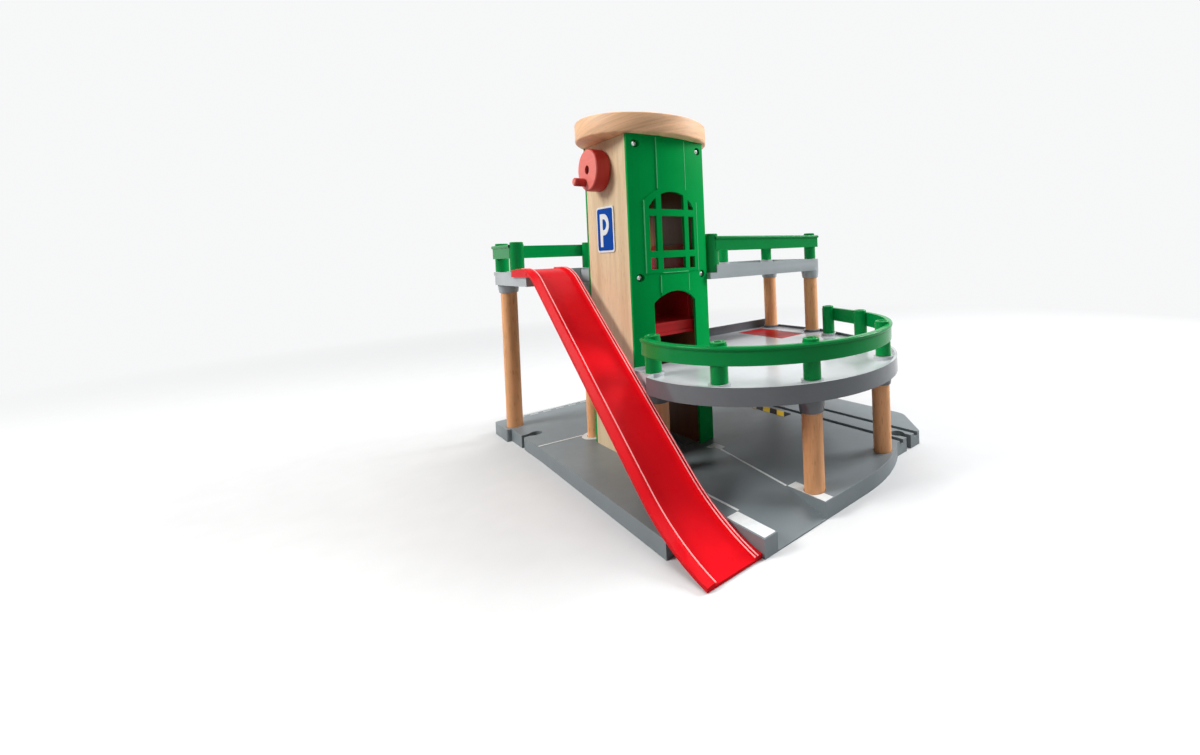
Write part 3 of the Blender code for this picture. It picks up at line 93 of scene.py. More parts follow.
# Painted shade multiplied into the boards' inner faces, for the shade inside the tower.
SHAFT_PAINTED_SHADE = (0.29, 0.13, 0.075)

# Values of the edges.
SMOOTH_BELOW = 28          # degrees between two faces that are shaded as one
BEVEL_ABOVE = 36           # degrees between two faces whose edge is rounded
FLAT_WITHIN = 0.5          # degrees between two faces that count as one plane
WELD_WITHIN = 0.00001
SEAM = 0.000002            # vertices of a node's mesh closer than this are one
SLIVER = 0.00006


# Shader node helpers

def new_material(name):
    mat = bpy.data.materials.new(name)
    mat.use_nodes = True
    tree = mat.node_tree
    return mat, tree, tree.nodes["Principled BSDF"]


def add(tree, kind, **values):
    node = tree.nodes.new(kind)
    for key, value in values.items():
        setattr(node, key, value)
    return node


def ramp(tree, source, stops):
    node = add(tree, "ShaderNodeValToRGB")
    elements = node.color_ramp.elements
    while len(elements) < len(stops):
        elements.new(0.5)
    for element, (position, colour) in zip(elements, stops):
        element.position = position
        element.color = (*colour, 1.0)
    tree.links.new(source, node.inputs["Fac"])
    return node.outputs["Color"]


def coordinates(tree, scale=(1, 1, 1), rotation=(0, 0, 0)):
    source = add(tree, "ShaderNodeTexCoord")
    mapping = add(tree, "ShaderNodeMapping")
    mapping.inputs["Scale"].default_value = scale
    mapping.inputs["Rotation"].default_value = rotation
    tree.links.new(source.outputs["Object"], mapping.inputs["Vector"])
    return mapping.outputs["Vector"]


def noise(tree, vector, scale, detail=3.0, roughness=0.5, distortion=0.0):
    node = add(tree, "ShaderNodeTexNoise")
    node.inputs["Scale"].default_value = scale
    node.inputs["Detail"].default_value = detail
    node.inputs["Roughness"].default_value = roughness
    node.inputs["Distortion"].default_value = distortion
    tree.links.new(vector, node.inputs["Vector"])
    return node.outputs["Fac"]


def remap(tree, source, low, high, out_low=0.0, out_high=1.0):
    node = add(tree, "ShaderNodeMapRange")
    node.inputs["From Min"].default_value = low
    node.inputs["From Max"].default_value = high
    node.inputs["To Min"].default_value = out_low
    node.inputs["To Max"].default_value = out_high
    tree.links.new(source, node.inputs["Value"])
    return node.outputs["Result"]


def mix(tree, factor, a, b, blend="MIX"):
    node = add(tree, "ShaderNodeMix", data_type="RGBA", blend_type=blend)
    for socket, value in ((node.inputs[0], factor), (node.inputs[6], a), (node.inputs[7], b)):
        if isinstance(value, bpy.types.NodeSocket):
            tree.links.new(value, socket)
        elif isinstance(value, tuple):
            socket.default_value = (*value, 1.0)
        else:
            socket.default_value = value
    return node.outputs[2]


def bump(tree, shader, height, strength, distance):
    node = add(tree, "ShaderNodeBump")
    node.inputs["Strength"].default_value = strength
    node.inputs["Distance"].default_value = distance
    tree.links.new(height, node.inputs["Height"])
    tree.links.new(node.outputs["Normal"], shader.inputs["Normal"])


def shade_of(colour, factor):
    return tuple(min(1.0, channel * factor) for channel in colour)


def mottled(tree, source, colour, amount):
    """The colour, darker and lighter by the amount as the noise goes."""
    return ramp(tree, source, ((LOW_NOISE, shade_of(colour, 1.0 - amount)),
                               (HIGH_NOISE, shade_of(colour, 1.0 + amount))))


def gloss(tree, shader, source, low, high):
    """Roughness between low and high as the noise goes."""
    tree.links.new(remap(tree, source, LOW_NOISE, HIGH_NOISE, low, high),
                   shader.inputs["Roughness"])


# Materials

def axis_of(tree, source, axis):
    node = add(tree, "ShaderNodeSeparateXYZ")
    tree.links.new(source, node.inputs[0])
    return node.outputs[axis]


def maths(tree, operation, a, b=0.0):
    node = add(tree, "ShaderNodeMath", operation=operation)
    for socket, value in zip(node.inputs, (a, b)):
        if isinstance(value, bpy.types.NodeSocket):
            tree.links.new(value, socket)
        else:
            socket.default_value = value
    return node.outputs[0]


def plastic(name, colour, rough=0.30, mottle=0.05, specular=0.25, grain=1800.0, relief=0.03,
            top=None, lit_disc=None):
    """Moulded plastic: faint flow mottling, uneven gloss and a fine moulded grain. Where top
    is given, faces that look up have that colour instead, a painted light that makes lit tops
    paler than the darker, shaded walls. With a circle (x, y, radius, height) given, so has
    all that is above the height and within the radius."""
    mat, tree, shader = new_material(name)
    cloud = noise(tree, coordinates(tree), CLOUD_SCALE, 4.0, 0.55)
    tint = mottled(tree, cloud, colour, mottle)
    # Painted light: faces that look up, and all within the given circle, take the paler lit
    # colour; the other faces keep the darker colour as painted shade.
    if top:
        facing = add(tree, "ShaderNodeTexCoord")
        painted_light_mask = remap(tree, axis_of(tree, facing.outputs["Normal"], "Z"), 0.30, 0.95)
        if lit_disc:
            x, y, radius, height = lit_disc
            spot = facing.outputs["Object"]
            across = maths(tree, "SUBTRACT", axis_of(tree, spot, "X"), x)
            along = maths(tree, "SUBTRACT", axis_of(tree, spot, "Y"), y)
            away = maths(tree, "SQRT", maths(tree, "ADD", maths(tree, "POWER", across, 2.0),
                                             maths(tree, "POWER", along, 2.0)))
            within = maths(tree, "MULTIPLY", maths(tree, "LESS_THAN", away, radius),
                           maths(tree, "GREATER_THAN", axis_of(tree, spot, "Z"), height))
            painted_light_mask = maths(tree, "MAXIMUM", painted_light_mask, within)
        tint = mix(tree, painted_light_mask, tint, mottled(tree, cloud, top, mottle))
    tree.links.new(tint, shader.inputs["Base Color"])
    scuff = noise(tree, coordinates(tree), SCUFF_SCALE, 5.0, 0.6)
    gloss(tree, shader, scuff, rough - 0.02, rough + 0.04)
    fine = noise(tree, coordinates(tree), grain, 2.0, 0.5)
    bump(tree, shader, fine, relief, FINE_BUMP)
    shader.inputs["Specular IOR Level"].default_value = specular
    return mat


def lacquer(name, colour, face, rough=0.48):
    """Brushed paint on turned wood: satin, with a faint wood grain under it. The flat sides,
    which look along X, have the colour face, a painted sheen that makes them paler as if lit."""
    mat, tree, shader = new_material(name)
    grain = noise(tree, coordinates(tree, (1.0, 0.12, 1.0)), 420.0, 3.0, 0.6)
    cloud = noise(tree, coordinates(tree), 60.0, 3.0, 0.5)
    tint = ramp(tree, cloud, ((LOW_NOISE, shade_of(colour, 0.94)),
                              (HIGH_NOISE, shade_of(colour, 1.05))))
    tint = mix(tree, 0.18, tint, ramp(tree, grain, ((LOW_NOISE, shade_of(colour, 0.80)),
                                                    (0.65, shade_of(colour, 1.10)))))
    # Painted sheen: faces that look along X take the paler face colour.
    facing = add(tree, "ShaderNodeTexCoord")
    flat = maths(tree, "ABSOLUTE", axis_of(tree, facing.outputs["Normal"], "X"))
    pale = ramp(tree, grain, ((LOW_NOISE, shade_of(face, 0.88)), (0.65, face)))
    tint = mix(tree, remap(tree, flat, 0.60, 0.98), tint, pale)
    tree.links.new(tint, shader.inputs["Base Color"])
    gloss(tree, shader, grain, rough - 0.06, rough + 0.06)
    bump(tree, shader, grain, 0.12, GRAIN_BUMP)
    shader.inputs["Specular IOR Level"].default_value = 0.40
    return mat


def along_grain(tree, squeeze, heading, rise, layer=1.0):
    """Coordinates squeezed along the grain, whose direction has this heading and rise, and
    by the factor layer along the level direction across it."""
    source = add(tree, "ShaderNodeTexCoord")
    mapping = add(tree, "ShaderNodeMapping", vector_type="TEXTURE")
    mapping.inputs["Scale"].default_value = (1 / squeeze, layer, 1)
    mapping.inputs["Rotation"].default_value = (0, -math.radians(rise), math.radians(heading))
    tree.links.new(source.outputs["Object"], mapping.inputs["Vector"])
    return mapping.outputs["Vector"]


def wood(name, colour, heading=0.0, rise=90.0, contrast=1.0, scale=75.0, shade_within=0.0,
         squeeze=0.07, flecks=0.50, layer=1.0):
    """Lacquered beech: long soft figure, fine fibres and the short dark flecks of beech.
    Within the given distance of the middle plane it is darkened by painted shade, for the shade
    inside the tower."""
    mat, tree, shader = new_material(name)
    long = along_grain(tree, squeeze, heading, rise, layer)
    figure = noise(tree, long, scale, 4.0, 0.55, 0.6)
    fibre = noise(tree, long, FIBRE_SCALE, 3.0, 0.65)
    spots = noise(tree, along_grain(tree, 0.13, heading, rise), FLECK_SCALE, 1.0, 0.4)
    dark = shade_of(colour, 1.0 - 0.24 * contrast)
    dark = (dark[0], dark[1] * 0.94, dark[2] * 0.86)
    pale = shade_of(colour, 1.0 + 0.10 * contrast)
    body = ramp(tree, figure, ((0.34, dark), (0.50, colour), (0.66, pale)))
    body = mix(tree, 0.34 * contrast, body,
               ramp(tree, fibre, ((0.32, shade_of(colour, 0.70)), (0.62, pale))))
    marks = remap(tree, spots, 0.63, 0.73, 0.0, flecks * contrast)
    brown = (colour[0] * 0.50, colour[1] * 0.38, colour[2] * 0.28)
    body = mix(tree, marks, body, brown)
    # Painted shade: the inner faces near the middle plane are darkened.
    if shade_within:
        source = add(tree, "ShaderNodeTexCoord")
        inside = maths(tree, "ABSOLUTE", axis_of(tree, source.outputs["Object"], "X"))
        inner = remap(tree, inside, shade_within, shade_within + 0.0003, 1.0, 0.0)
        body = mix(tree, inner, body, SHAFT_PAINTED_SHADE, "MULTIPLY")
    tree.links.new(body, shader.inputs["Base Color"])
    gloss(tree, shader, fibre, 0.46, 0.58)
    bump(tree, shader, fibre, 0.16, GRAIN_BUMP)
    shader.inputs["Specular IOR Level"].default_value = 0.35
    return mat


def steel(name, tone=0.62):
    """Plated steel with faint drawn lines."""
    mat, tree, shader = new_material(name)
    shader.inputs["Metallic"].default_value = 1.0
    lines = noise(tree, coordinates(tree), 900.0, 2.0, 0.6)
    tree.links.new(ramp(tree, lines, ((LOW_NOISE, (tone * 0.86,) * 3),
                                      (HIGH_NOISE, (tone,) * 3))),
                   shader.inputs["Base Color"])
    gloss(tree, shader, lines, 0.22, 0.34)
    bump(tree, shader, lines, 0.15, FINE_BUMP)
    return mat


def twine(name):
    """Twisted thread."""
    mat, tree, shader = new_material(name)
    wave = add(tree, "ShaderNodeTexWave", bands_direction="DIAGONAL")
    wave.inputs["Scale"].default_value = 420.0
    wave.inputs["Distortion"].default_value = 1.0
    tree.links.new(coordinates(tree), wave.inputs["Vector"])
    tree.links.new(ramp(tree, wave.outputs["Fac"], ((0.2, (0.55, 0.51, 0.43)),
                                                    (0.8, (0.84, 0.81, 0.74)))),
                   shader.inputs["Base Color"])
    shader.inputs["Roughness"].default_value = 0.85
    bump(tree, shader, wave.outputs["Fac"], 0.5, GRAIN_BUMP)
    return mat


def paint(name, colour, rough=0.42, wear=0.08, specular=0.25):
    """Thin printed paint with faintly uneven cover."""
    mat, tree, shader = new_material(name)
    patches = noise(tree, coordinates(tree), 260.0, 4.0, 0.65)
    tree.links.new(ramp(tree, patches, ((0.28, shade_of(colour, 1.0 - wear)), (0.60, colour))),
                   shader.inputs["Base Color"])
    gloss(tree, shader, patches, rough - 0.06, rough + 0.08)
    bump(tree, shader, patches, 0.08, FINE_BUMP)
    shader.inputs["Specular IOR Level"].default_value = specular
    return mat


MATERIALS = {
    "board": wood("board_beech", WOOD_BOARD, contrast=0.60, shade_within=BOARD_INNER),
    "lid": wood("lid_beech", WOOD_LID, -46.0, 17.0, contrast=1.45, scale=210.0,
                squeeze=0.020, flecks=0.12, layer=7.0),
    "column": wood("column_beech", WOOD_COLUMN, contrast=0.95),
    "green": plastic("panel_green", PANEL_GREEN, 0.30, specular=0.018),
    "rail": plastic("railing_green", RAIL_GREEN, 0.20, specular=0.10),
    "green_bead": plastic("bead_green_highlight", BEAD_GREEN_HIGHLIGHT, 0.25),
    "red": plastic("moulded_red", RED, 0.28, specular=0.035),
    "car": plastic("car_red", CAR_RED_SHADED, 0.18, specular=0.20),
    "trap": plastic("trap_red", TRAP_RED_SHADED, 0.30, specular=0.04),
    "red_bead": plastic("bead_red_highlight", BEAD_RED_HIGHLIGHT, 0.25),
    "knob": lacquer("knob_red", KNOB_RED, KNOB_FACE_PAINTED_SHEEN),
    "base": plastic("base_grey", BASE_GREY, 0.39, specular=0.45, relief=0.08, grain=1300.0),
    "mid": plastic("mid_deck_grey", MID_WALL_SHADED, 0.14, specular=0.40, top=DECK_LIT_TOP,
                   lit_disc=MID_LIT_DISC),
    "upper": plastic("upper_deck_grey", UPPER_WALL_SHADED, 0.20, specular=0.40, top=DECK_LIT_TOP),
    "steel": steel("zinc_steel"),
    "twine": twine("twine"),
    "white": paint("white_paint", WHITE),
    "yellow": paint("yellow_paint", YELLOW, specular=0.06),
    "black": paint("black_paint", BLACK, specular=0.03),
    "blue": paint("sign_blue", BLUE, 0.40, 0.05, specular=0.03),
}

LOOKS = {
    "base": "base", "mid_deck": "mid", "upper_deck": "upper",
    "tower_side_left": "board", "tower_side_right": "board", "tower_lid": "lid",
    "tower_front_panel": "green", "tower_back_panel": "green",
    "mid_railing": "rail", "upper_railing_right": "rail", "upper_railing_back": "rail",
    "slide_ramp": "red", "lift_car": "car", "trapdoor": "trap", "crank_peg": "knob",
    "lift_drum": "red", "idler_pulley": "red", "knob_wheel": "knob", "knob_axle": "steel",
    "idler_pin": "steel", "trap_hinge_pin": "steel", "trap_spring": "steel",
    "lift_cord": "twine", "parking_sign": "white",
}


def look_of(name):
    if name in LOOKS:
        return LOOKS[name]
    if name.startswith("column_"):
        return "column"
    if name.startswith("lid_dowel"):
        return "lid"
    return "steel"


# Edges: rounded and shaded as a mould or a sander leaves them

def smooth_group(angle):
    """A node group that shades a mesh smooth except at edges sharper than the angle."""
    group = bpy.data.node_groups.new("smooth_by_angle", "GeometryNodeTree")
    group.interface.new_socket("Geometry", in_out="INPUT", socket_type="NodeSocketGeometry")
    group.interface.new_socket("Geometry", in_out="OUTPUT", socket_type="NodeSocketGeometry")
    group.is_modifier = True
    start = add(group, "NodeGroupInput")
    end = add(group, "NodeGroupOutput")
    faces = add(group, "GeometryNodeSetShadeSmooth", domain="FACE")
    edges = add(group, "GeometryNodeSetShadeSmooth", domain="EDGE")
    between = add(group, "GeometryNodeInputMeshEdgeAngle")
    under = add(group, "FunctionNodeCompare", data_type="FLOAT", operation="LESS_THAN")
    under.inputs["B"].default_value = angle
    group.links.new(start.outputs[0], faces.inputs["Geometry"])
    group.links.new(faces.outputs[0], edges.inputs["Geometry"])
    group.links.new(between.outputs["Unsigned Angle"], under.inputs["A"])
    group.links.new(under.outputs[0], edges.inputs["Shade Smooth"])
    group.links.new(edges.outputs[0], end.inputs[0])
    return group


SMOOTH = smooth_group(math.radians(SMOOTH_BELOW))


def soften(obj, width=0.0, segments=2, flatten=True):
    """Rounds a mesh's sharp edges by the width and shades its curved faces smooth."""
    weld = obj.modifiers.new("weld", "WELD")
    weld.merge_threshold = WELD_WITHIN
    if flatten:
        flat = obj.modifiers.new("flat", "DECIMATE")
        flat.decimate_type = "DISSOLVE"
        flat.angle_limit = math.radians(FLAT_WITHIN)
    smooth = obj.modifiers.new("smooth", "NODES")
    smooth.node_group = SMOOTH
    if width:
        bevel = obj.modifiers.new("edges", "BEVEL")
        bevel.width = width
        bevel.segments = segments
        bevel.limit_method = "ANGLE"
        bevel.angle_limit = math.radians(BEVEL_ABOVE)
        bevel.use_clamp_overlap = True
        bevel.harden_normals = True


EDGE = {"base": 0.0012, "mid_deck": 0.0008, "upper_deck": 0.0008, "tower_side_left": 0.0008,
        "tower_side_right": 0.0008, "slide_ramp": 0.0005, "lift_car": 0.0006,
        "trapdoor": 0.0005, "mid_railing": 0.0005, "upper_railing_right": 0.0005,
        "upper_railing_back": 0.0005, "knob_wheel": 0.0005, "crank_peg": 0.0003,
        "tower_lid": 0.0004, "parking_sign": 0.0001}

for name, node in nodes.items():
    node.data.materials.clear()
    node.data.materials.append(MATERIALS[look_of(name)])
    soften(node, EDGE.get(name, 0.0))


# Building helpers for the pieces

def piece(name, mesh, look, slot, body="garage"):
    """A new piece that rides on a body and takes its finish from the look. The argument slot is
    not used.
    """
    obj = bpy.data.objects.new(name, mesh)
    bpy.context.scene.collection.objects.link(obj)
    mesh.materials.clear()
    mesh.materials.append(MATERIALS[look])
    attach(obj, body)
    return obj


def mesh_of(bm, name):
    bmesh.ops.recalc_face_normals(bm, faces=bm.faces)
    mesh = bpy.data.meshes.new(name)
    bm.to_mesh(mesh)
    bm.free()
    return mesh


def slabs(name, shapes, origin, right, up, low, high):
    """Flat closed plates: each shape is a list of loops, an outline and its holes, in the
    plane of right and up. The plates reach from low to high along right x up."""
    right, up, origin = Vector(right), Vector(up), Vector(origin)
    normal = right.cross(up)
    bm = bmesh.new()
    for loops in shapes:
        flat = [[Vector((x, y, 0.0)) for x, y in loop] for loop in loops]
        points = [point for loop in flat for point in loop]
        layers = [[bm.verts.new(origin + right * p.x + up * p.y + normal * level)
                   for p in points] for level in (low, high)]
        for a, b, c in tessellate_polygon(flat):
            bm.faces.new([layers[0][i] for i in (a, b, c)])
            bm.faces.new([layers[1][i] for i in (c, b, a)])
        start = 0
        for loop in flat:
            count = len(loop)
            for i in range(count):
                a, b = start + i, start + (i + 1) % count
                bm.faces.new([layers[0][a], layers[0][b], layers[1][b], layers[1][a]])
            start += count
    return mesh_of(bm, name)


def arc(cx, cy, radius, start, end, steps):
    """Points along an arc, angles in degrees."""
    turns = [math.radians(start + (end - start) * i / steps) for i in range(steps + 1)]
    return [(cx + radius * math.cos(t), cy + radius * math.sin(t)) for t in turns]


def ring(cx, cy, outer, inner, steps=40):
    return [arc(cx, cy, outer, 0, 360, steps)[:-1], arc(cx, cy, inner, 360, 0, steps)[:-1]]


def rectangle(x0, y0, x1, y1):
    return [(x0, y0), (x1, y0), (x1, y1), (x0, y1)]


def rounded_rectangle(x0, y0, x1, y1, radius, steps=6):
    points = []
    for cx, cy, start in ((x1 - radius, y0 + radius, -90), (x1 - radius, y1 - radius, 0),
                          (x0 + radius, y1 - radius, 90), (x0 + radius, y0 + radius, 180)):
        points += arc(cx, cy, radius, start, start + 90, steps)
    return points


LONGEST_MITRE = 0.4


def stroke(points, width):
    """The outline of a line of even width through the points, with mitred corners that
    are not longer than LONGEST_MITRE allows."""
    left, right = [], []
    for i, (x, y) in enumerate(points):
        before = points[max(i - 1, 0)]
        after = points[min(i + 1, len(points) - 1)]
        a = Vector((x - before[0], y - before[1])).normalized() if i else None
        b = Vector((after[0] - x, after[1] - y)).normalized() if i < len(points) - 1 else None
        a, b = a or b, b or a
        mid = (a + b).normalized()
        side = Vector((-mid.y, mid.x)) * (width / 2 / max(LONGEST_MITRE, mid.dot(a)))
        left.append((x + side.x, y + side.y))
        right.append((x - side.x, y - side.y))
    return left + right[::-1]


def clip(polygon, inside, cross):
    """The part of a polygon on one side of a line."""
    kept = []
    for i, point in enumerate(polygon):
        last = polygon[i - 1]
        if inside(point) != inside(last):
            kept.append(cross(last, point))
        if inside(point):
            kept.append(point)
    return kept


def clip_box(polygon, x0, y0, x1, y1):
    """The part of a polygon inside a rectangle."""
    for axis, limit, sign in ((0, x0, 1), (0, x1, -1), (1, y0, 1), (1, y1, -1)):
        def inside(p):
            return (p[axis] - limit) * sign >= 0

        def cross(a, b):
            t = (limit - a[axis]) / (b[axis] - a[axis])
            return (a[0] + (b[0] - a[0]) * t, a[1] + (b[1] - a[1]) * t)

        polygon = clip(polygon, inside, cross)
        if not polygon:
            break
    return polygon


def temporary(mesh):
    """An object that only serves a boolean."""
    obj = bpy.data.objects.new("temporary", mesh)
    bpy.context.scene.collection.objects.link(obj)
    return obj


def copy_of(node, shift=(0, 0, 0)):
    """A welded copy of a node's mesh, moved by the shift."""
    bm = bmesh.new()
    bm.from_mesh(nodes[node].data)
    bmesh.ops.remove_doubles(bm, verts=bm.verts, dist=SEAM)
    bmesh.ops.translate(bm, verts=bm.verts, vec=shift)
    return mesh_of(bm, node + "_copy")


def combined(mesh, operation, *others):
    """The mesh joined with, cut by or cut to the others."""
    obj = temporary(mesh)
    tools = [temporary(other) for other in others]
    for tool in tools:
        step = obj.modifiers.new("step", "BOOLEAN")
        step.operation = operation
        step.object = tool
        step.solver = "EXACT"
    graph = bpy.context.evaluated_depsgraph_get()
    result = bpy.data.meshes.new_from_object(obj.evaluated_get(graph))
    for used in (obj, *tools):
        bpy.data.objects.remove(used)
    return result


def tidied(mesh):
    """The mesh without the slivers that a boolean leaves."""
    bm = bmesh.new()
    bm.from_mesh(mesh)
    bmesh.ops.remove_doubles(bm, verts=bm.verts, dist=SLIVER)
    bmesh.ops.dissolve_degenerate(bm, edges=bm.edges, dist=SLIVER)
    return mesh_of(bm, "tidied")


def spun(profile, segments):
    """A closed body turned about the Z axis from (radius, height) points, which begin and
    end at radius 0."""
    bm = bmesh.new()
    rings = []
    for radius, height in profile:
        if radius == 0.0:
            rings.append([bm.verts.new((0, 0, height))])
        else:
            rings.append([bm.verts.new((x, y, height))
                          for x, y in arc(0, 0, radius, 0, 360, segments)[:-1]])
    for low, high in zip(rings, rings[1:]):
        for i in range(segments):
            j = (i + 1) % segments
            corners = [low[i % len(low)], low[j % len(low)], high[j % len(high)],
                       high[i % len(high)]]
            bm.faces.new(list(dict.fromkeys(corners)))
    return mesh_of(bm, "spun")


# The green panels, with their raised fields

STRIP_HALF = 0.015
SURROUND_HALF = 0.028
SURROUND_LOW = 0.179
SURROUND_HIGH = 0.244
SURROUND_TOP = 0.2567
STRIP_STOP = 0.1768        # the lower strip ends here, under the window's sill
PANEL_END = 0.310          # above the panels' upper edge
PANEL_START = -0.010       # below their lower edge
SURFACE_Y = (0.030, 0.060)  # the panels' outer faces lie between these distances from the middle
PANEL_EDGE = 0.0003


def window_field():
    """The raised strip above the window and the window's surround, as one outline in X and Z."""
    rise = SURROUND_TOP - SURROUND_HIGH
    radius = (SURROUND_HALF ** 2 + rise ** 2) / (2 * rise)
    centre = SURROUND_TOP - radius
    flank = math.degrees(math.asin(SURROUND_HALF / radius))
    strip = math.degrees(math.asin(STRIP_HALF / radius))
    right = arc(0, centre, radius, 90 - flank, 90 - strip, 6)
    left = arc(0, centre, radius, 90 + strip, 90 + flank, 6)
    return ([(-SURROUND_HALF, SURROUND_LOW), (SURROUND_HALF, SURROUND_LOW)] + right
            + [(STRIP_HALF, PANEL_END), (-STRIP_HALF, PANEL_END)] + left)


def raised_part(node, side, rise, outlines):
    """A panel moved out by the rise and cut to outlines in X and Z; side is -1 at the front
    and 1 at the back."""
    raised = copy_of(node, (0, side * rise, 0))
    near, far = SURFACE_Y
    low, high = (near, far) if side < 0 else (-far, -near)
    prism = slabs("fields", [[outline] for outline in outlines], (0, 0, 0), (1, 0, 0),
                  (0, 0, 1), low, high)
    return combined(raised, "INTERSECT", prism)


def relief(name, node, side, fields):
    """A panel with raised fields that follow its bulge."""
    fields = raised_part(node, side, RELIEF, fields)
    obj = piece(name, tidied(combined(copy_of(node), "UNION", fields)), "green", node)
    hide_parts(node)
    soften(obj, PANEL_EDGE)


BEAD_WIDTH = 0.0007
BEAD_RISE = 0.0002
BEAD_EDGE = 0.00015


def beads(name, node, side, lines):
    """Fine ridges that follow a panel's bulge along lines given in X and Z, in a paler green
    that is a painted highlight.
    """
    ridges = raised_part(node, side, RELIEF + BEAD_RISE,
                         [stroke(line, BEAD_WIDTH) for line in lines])
    soften(piece(name, ridges, "green_bead", node), BEAD_EDGE)


DOOR_GAP = 0.1610          # the lower strip's beads start above the door's arch
PANEL_TOP = 0.3005
BEAD_FOOT = {"front": 0.2545, "back": 0.2520}  # where the upper strip's beads start
SILL_GAP = 0.002


relief("panel_front_relief", "tower_front_panel", -1,
       [window_field(), rectangle(-STRIP_HALF, PANEL_START, STRIP_HALF, STRIP_STOP)])
relief("panel_back_relief", "tower_back_panel", 1,
       [rectangle(-STRIP_HALF, PANEL_START, STRIP_HALF, PANEL_END)])

for side, place in ((-1, "front"), (1, "back")):
    lines = [[(x, BEAD_FOOT[place]), (x, PANEL_TOP)] for x in (-STRIP_HALF, STRIP_HALF)]
    if place == "front":
        lines += [[(x, DOOR_GAP), (x, STRIP_STOP)] for x in (-STRIP_HALF, STRIP_HALF)]
        lines += [[(x, SURROUND_LOW), (x, SURROUND_HIGH)]
                  for x in (-SURROUND_HALF, SURROUND_HALF)]
        lines.append([(-STRIP_HALF + SILL_GAP, SURROUND_LOW), (STRIP_HALF, SURROUND_LOW)])
    beads("panel_" + place + "_beads", "tower_" + place + "_panel", side, lines)


# Screws with domed cross heads

HEAD_RADIUS = 0.0029
HEAD_HEIGHT = 0.0017
SHANK_RADIUS = 0.0014
THREAD_DEPTH = 0.00035
THREAD_PITCH = 0.0010
DOME = 0.85                # how much of the head's height is its dome
CROSS_HALF = 0.00165
CROSS_WIDTH = 0.00075
CROSS_DEPTH = 0.0012
CROSS_ABOVE = 0.0005
CROSS_TURN = 0.35          # radians
CROSS_TOP = (1.15, 1.2)    # reach and width at the top and at the bottom of the recess
CROSS_BOTTOM = (0.45, 0.7)


def screw_mesh(length):
    """A pan head screw along Z, its head's top at 0 and its point below."""
    profile = [(0.0, 0.0)]
    for i in range(1, 7):
        turn = math.radians(15 * i)
        profile.append((HEAD_RADIUS * math.sin(turn),
                        -HEAD_HEIGHT * (1 - math.cos(turn)) * DOME))
    profile += [(HEAD_RADIUS, -HEAD_HEIGHT), (SHANK_RADIUS, -HEAD_HEIGHT)]
    z = -HEAD_HEIGHT - THREAD_PITCH
    while z > -length + 2 * THREAD_PITCH:
        profile += [(SHANK_RADIUS - THREAD_DEPTH, z), (SHANK_RADIUS, z - THREAD_PITCH / 2)]
        z -= THREAD_PITCH
    profile.append((0.0, -length))
    head = spun(profile[::-1], 24)
    cutters = []
    for turn in (0.0, math.pi / 2):
        bm = bmesh.new()
        spin = Matrix.Rotation(turn + CROSS_TURN, 3, "Z")
        corners = []
        for z, (far, thick) in ((CROSS_ABOVE, CROSS_TOP), (-CROSS_DEPTH, CROSS_BOTTOM)):
            reach, wide = CROSS_HALF * far, CROSS_WIDTH * thick
            corners.append([bm.verts.new(spin @ Vector((x, y, z)))
                            for x, y in rectangle(-reach, -wide / 2, reach, wide / 2)])
        bm.faces.new(corners[0])
        bm.faces.new(corners[1])
        for i in range(4):
            j = (i + 1) % 4
            bm.faces.new([corners[0][i], corners[0][j], corners[1][j], corners[1][i]])
        cutters.append(mesh_of(bm, "cross"))
    return combined(head, "DIFFERENCE", *cutters)


for node in [name for name in nodes if name.startswith("screw_")]:
    low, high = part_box(node)
    front = "_front_" in node
    middle = (low + high) / 2
    mesh = screw_mesh(high.y - low.y)
    outward = Vector((0, -1, 0)) if front else Vector((0, 1, 0))
    turn = outward.to_track_quat("Z", "X").to_matrix().to_4x4()
    top = low.y if front else high.y
    mesh.transform(Matrix.Translation((middle.x, top, middle.z)) @ turn)
    obj = piece(node + "_cross", mesh, "steel", node)
    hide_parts(node)
    soften(obj, flatten=False)


# The parking sign's blue field and its letter

SIGN_BORDER = 0.0018
SIGN_CORNER = 0.0024
LETTER_LEFT = 0.0072       # from the sign's left edge
LETTER_TOP = 0.0066        # from its top
LETTER_BOTTOM = 0.0052     # from its bottom
LETTER_PEN = 0.0050
BOWL_HEIGHT = 0.0200
BOWL_WIDTH = 0.0172


def sign_pieces():
    low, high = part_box("parking_sign")
    face = (low.x, (low.y + high.y) / 2, (low.z + high.z) / 2)
    wide, tall = (high.y - low.y) / 2, (high.z - low.z) / 2
    field = rounded_rectangle(-wide + SIGN_BORDER, -tall + SIGN_BORDER, wide - SIGN_BORDER,
                              tall - SIGN_BORDER, SIGN_CORNER)
    right, up = (0, -1, 0), (0, 0, 1)
    blue = slabs("sign_field", [[field]], face, right, up, -PAINT_ROOT, PAINT)
    obj = piece("sign_field", blue, "blue", "parking_sign")
    soften(obj)
    left, top, bottom = -wide + LETTER_LEFT, tall - LETTER_TOP, -tall + LETTER_BOTTOM
    pen = LETTER_PEN
    low_bowl = top - BOWL_HEIGHT
    bend = BOWL_HEIGHT / 2
    centre_x, centre_y = left + BOWL_WIDTH - bend, top - bend
    outer = [(left, bottom), (left + pen, bottom), (left + pen, low_bowl)]
    outer += arc(centre_x, centre_y, bend, -90, 90, 18) + [(left, top)]
    hole = arc(centre_x, centre_y, bend - pen, 90, -90, 14)
    hole += [(left + pen, low_bowl + pen), (left + pen, top - pen)]
    letter = slabs("sign_letter", [[outer, hole]], face, right, up, -PAINT_ROOT, 2 * PAINT)
    obj = piece("sign_letter", letter, "white", "parking_sign")
    soften(obj)


sign_pieces()


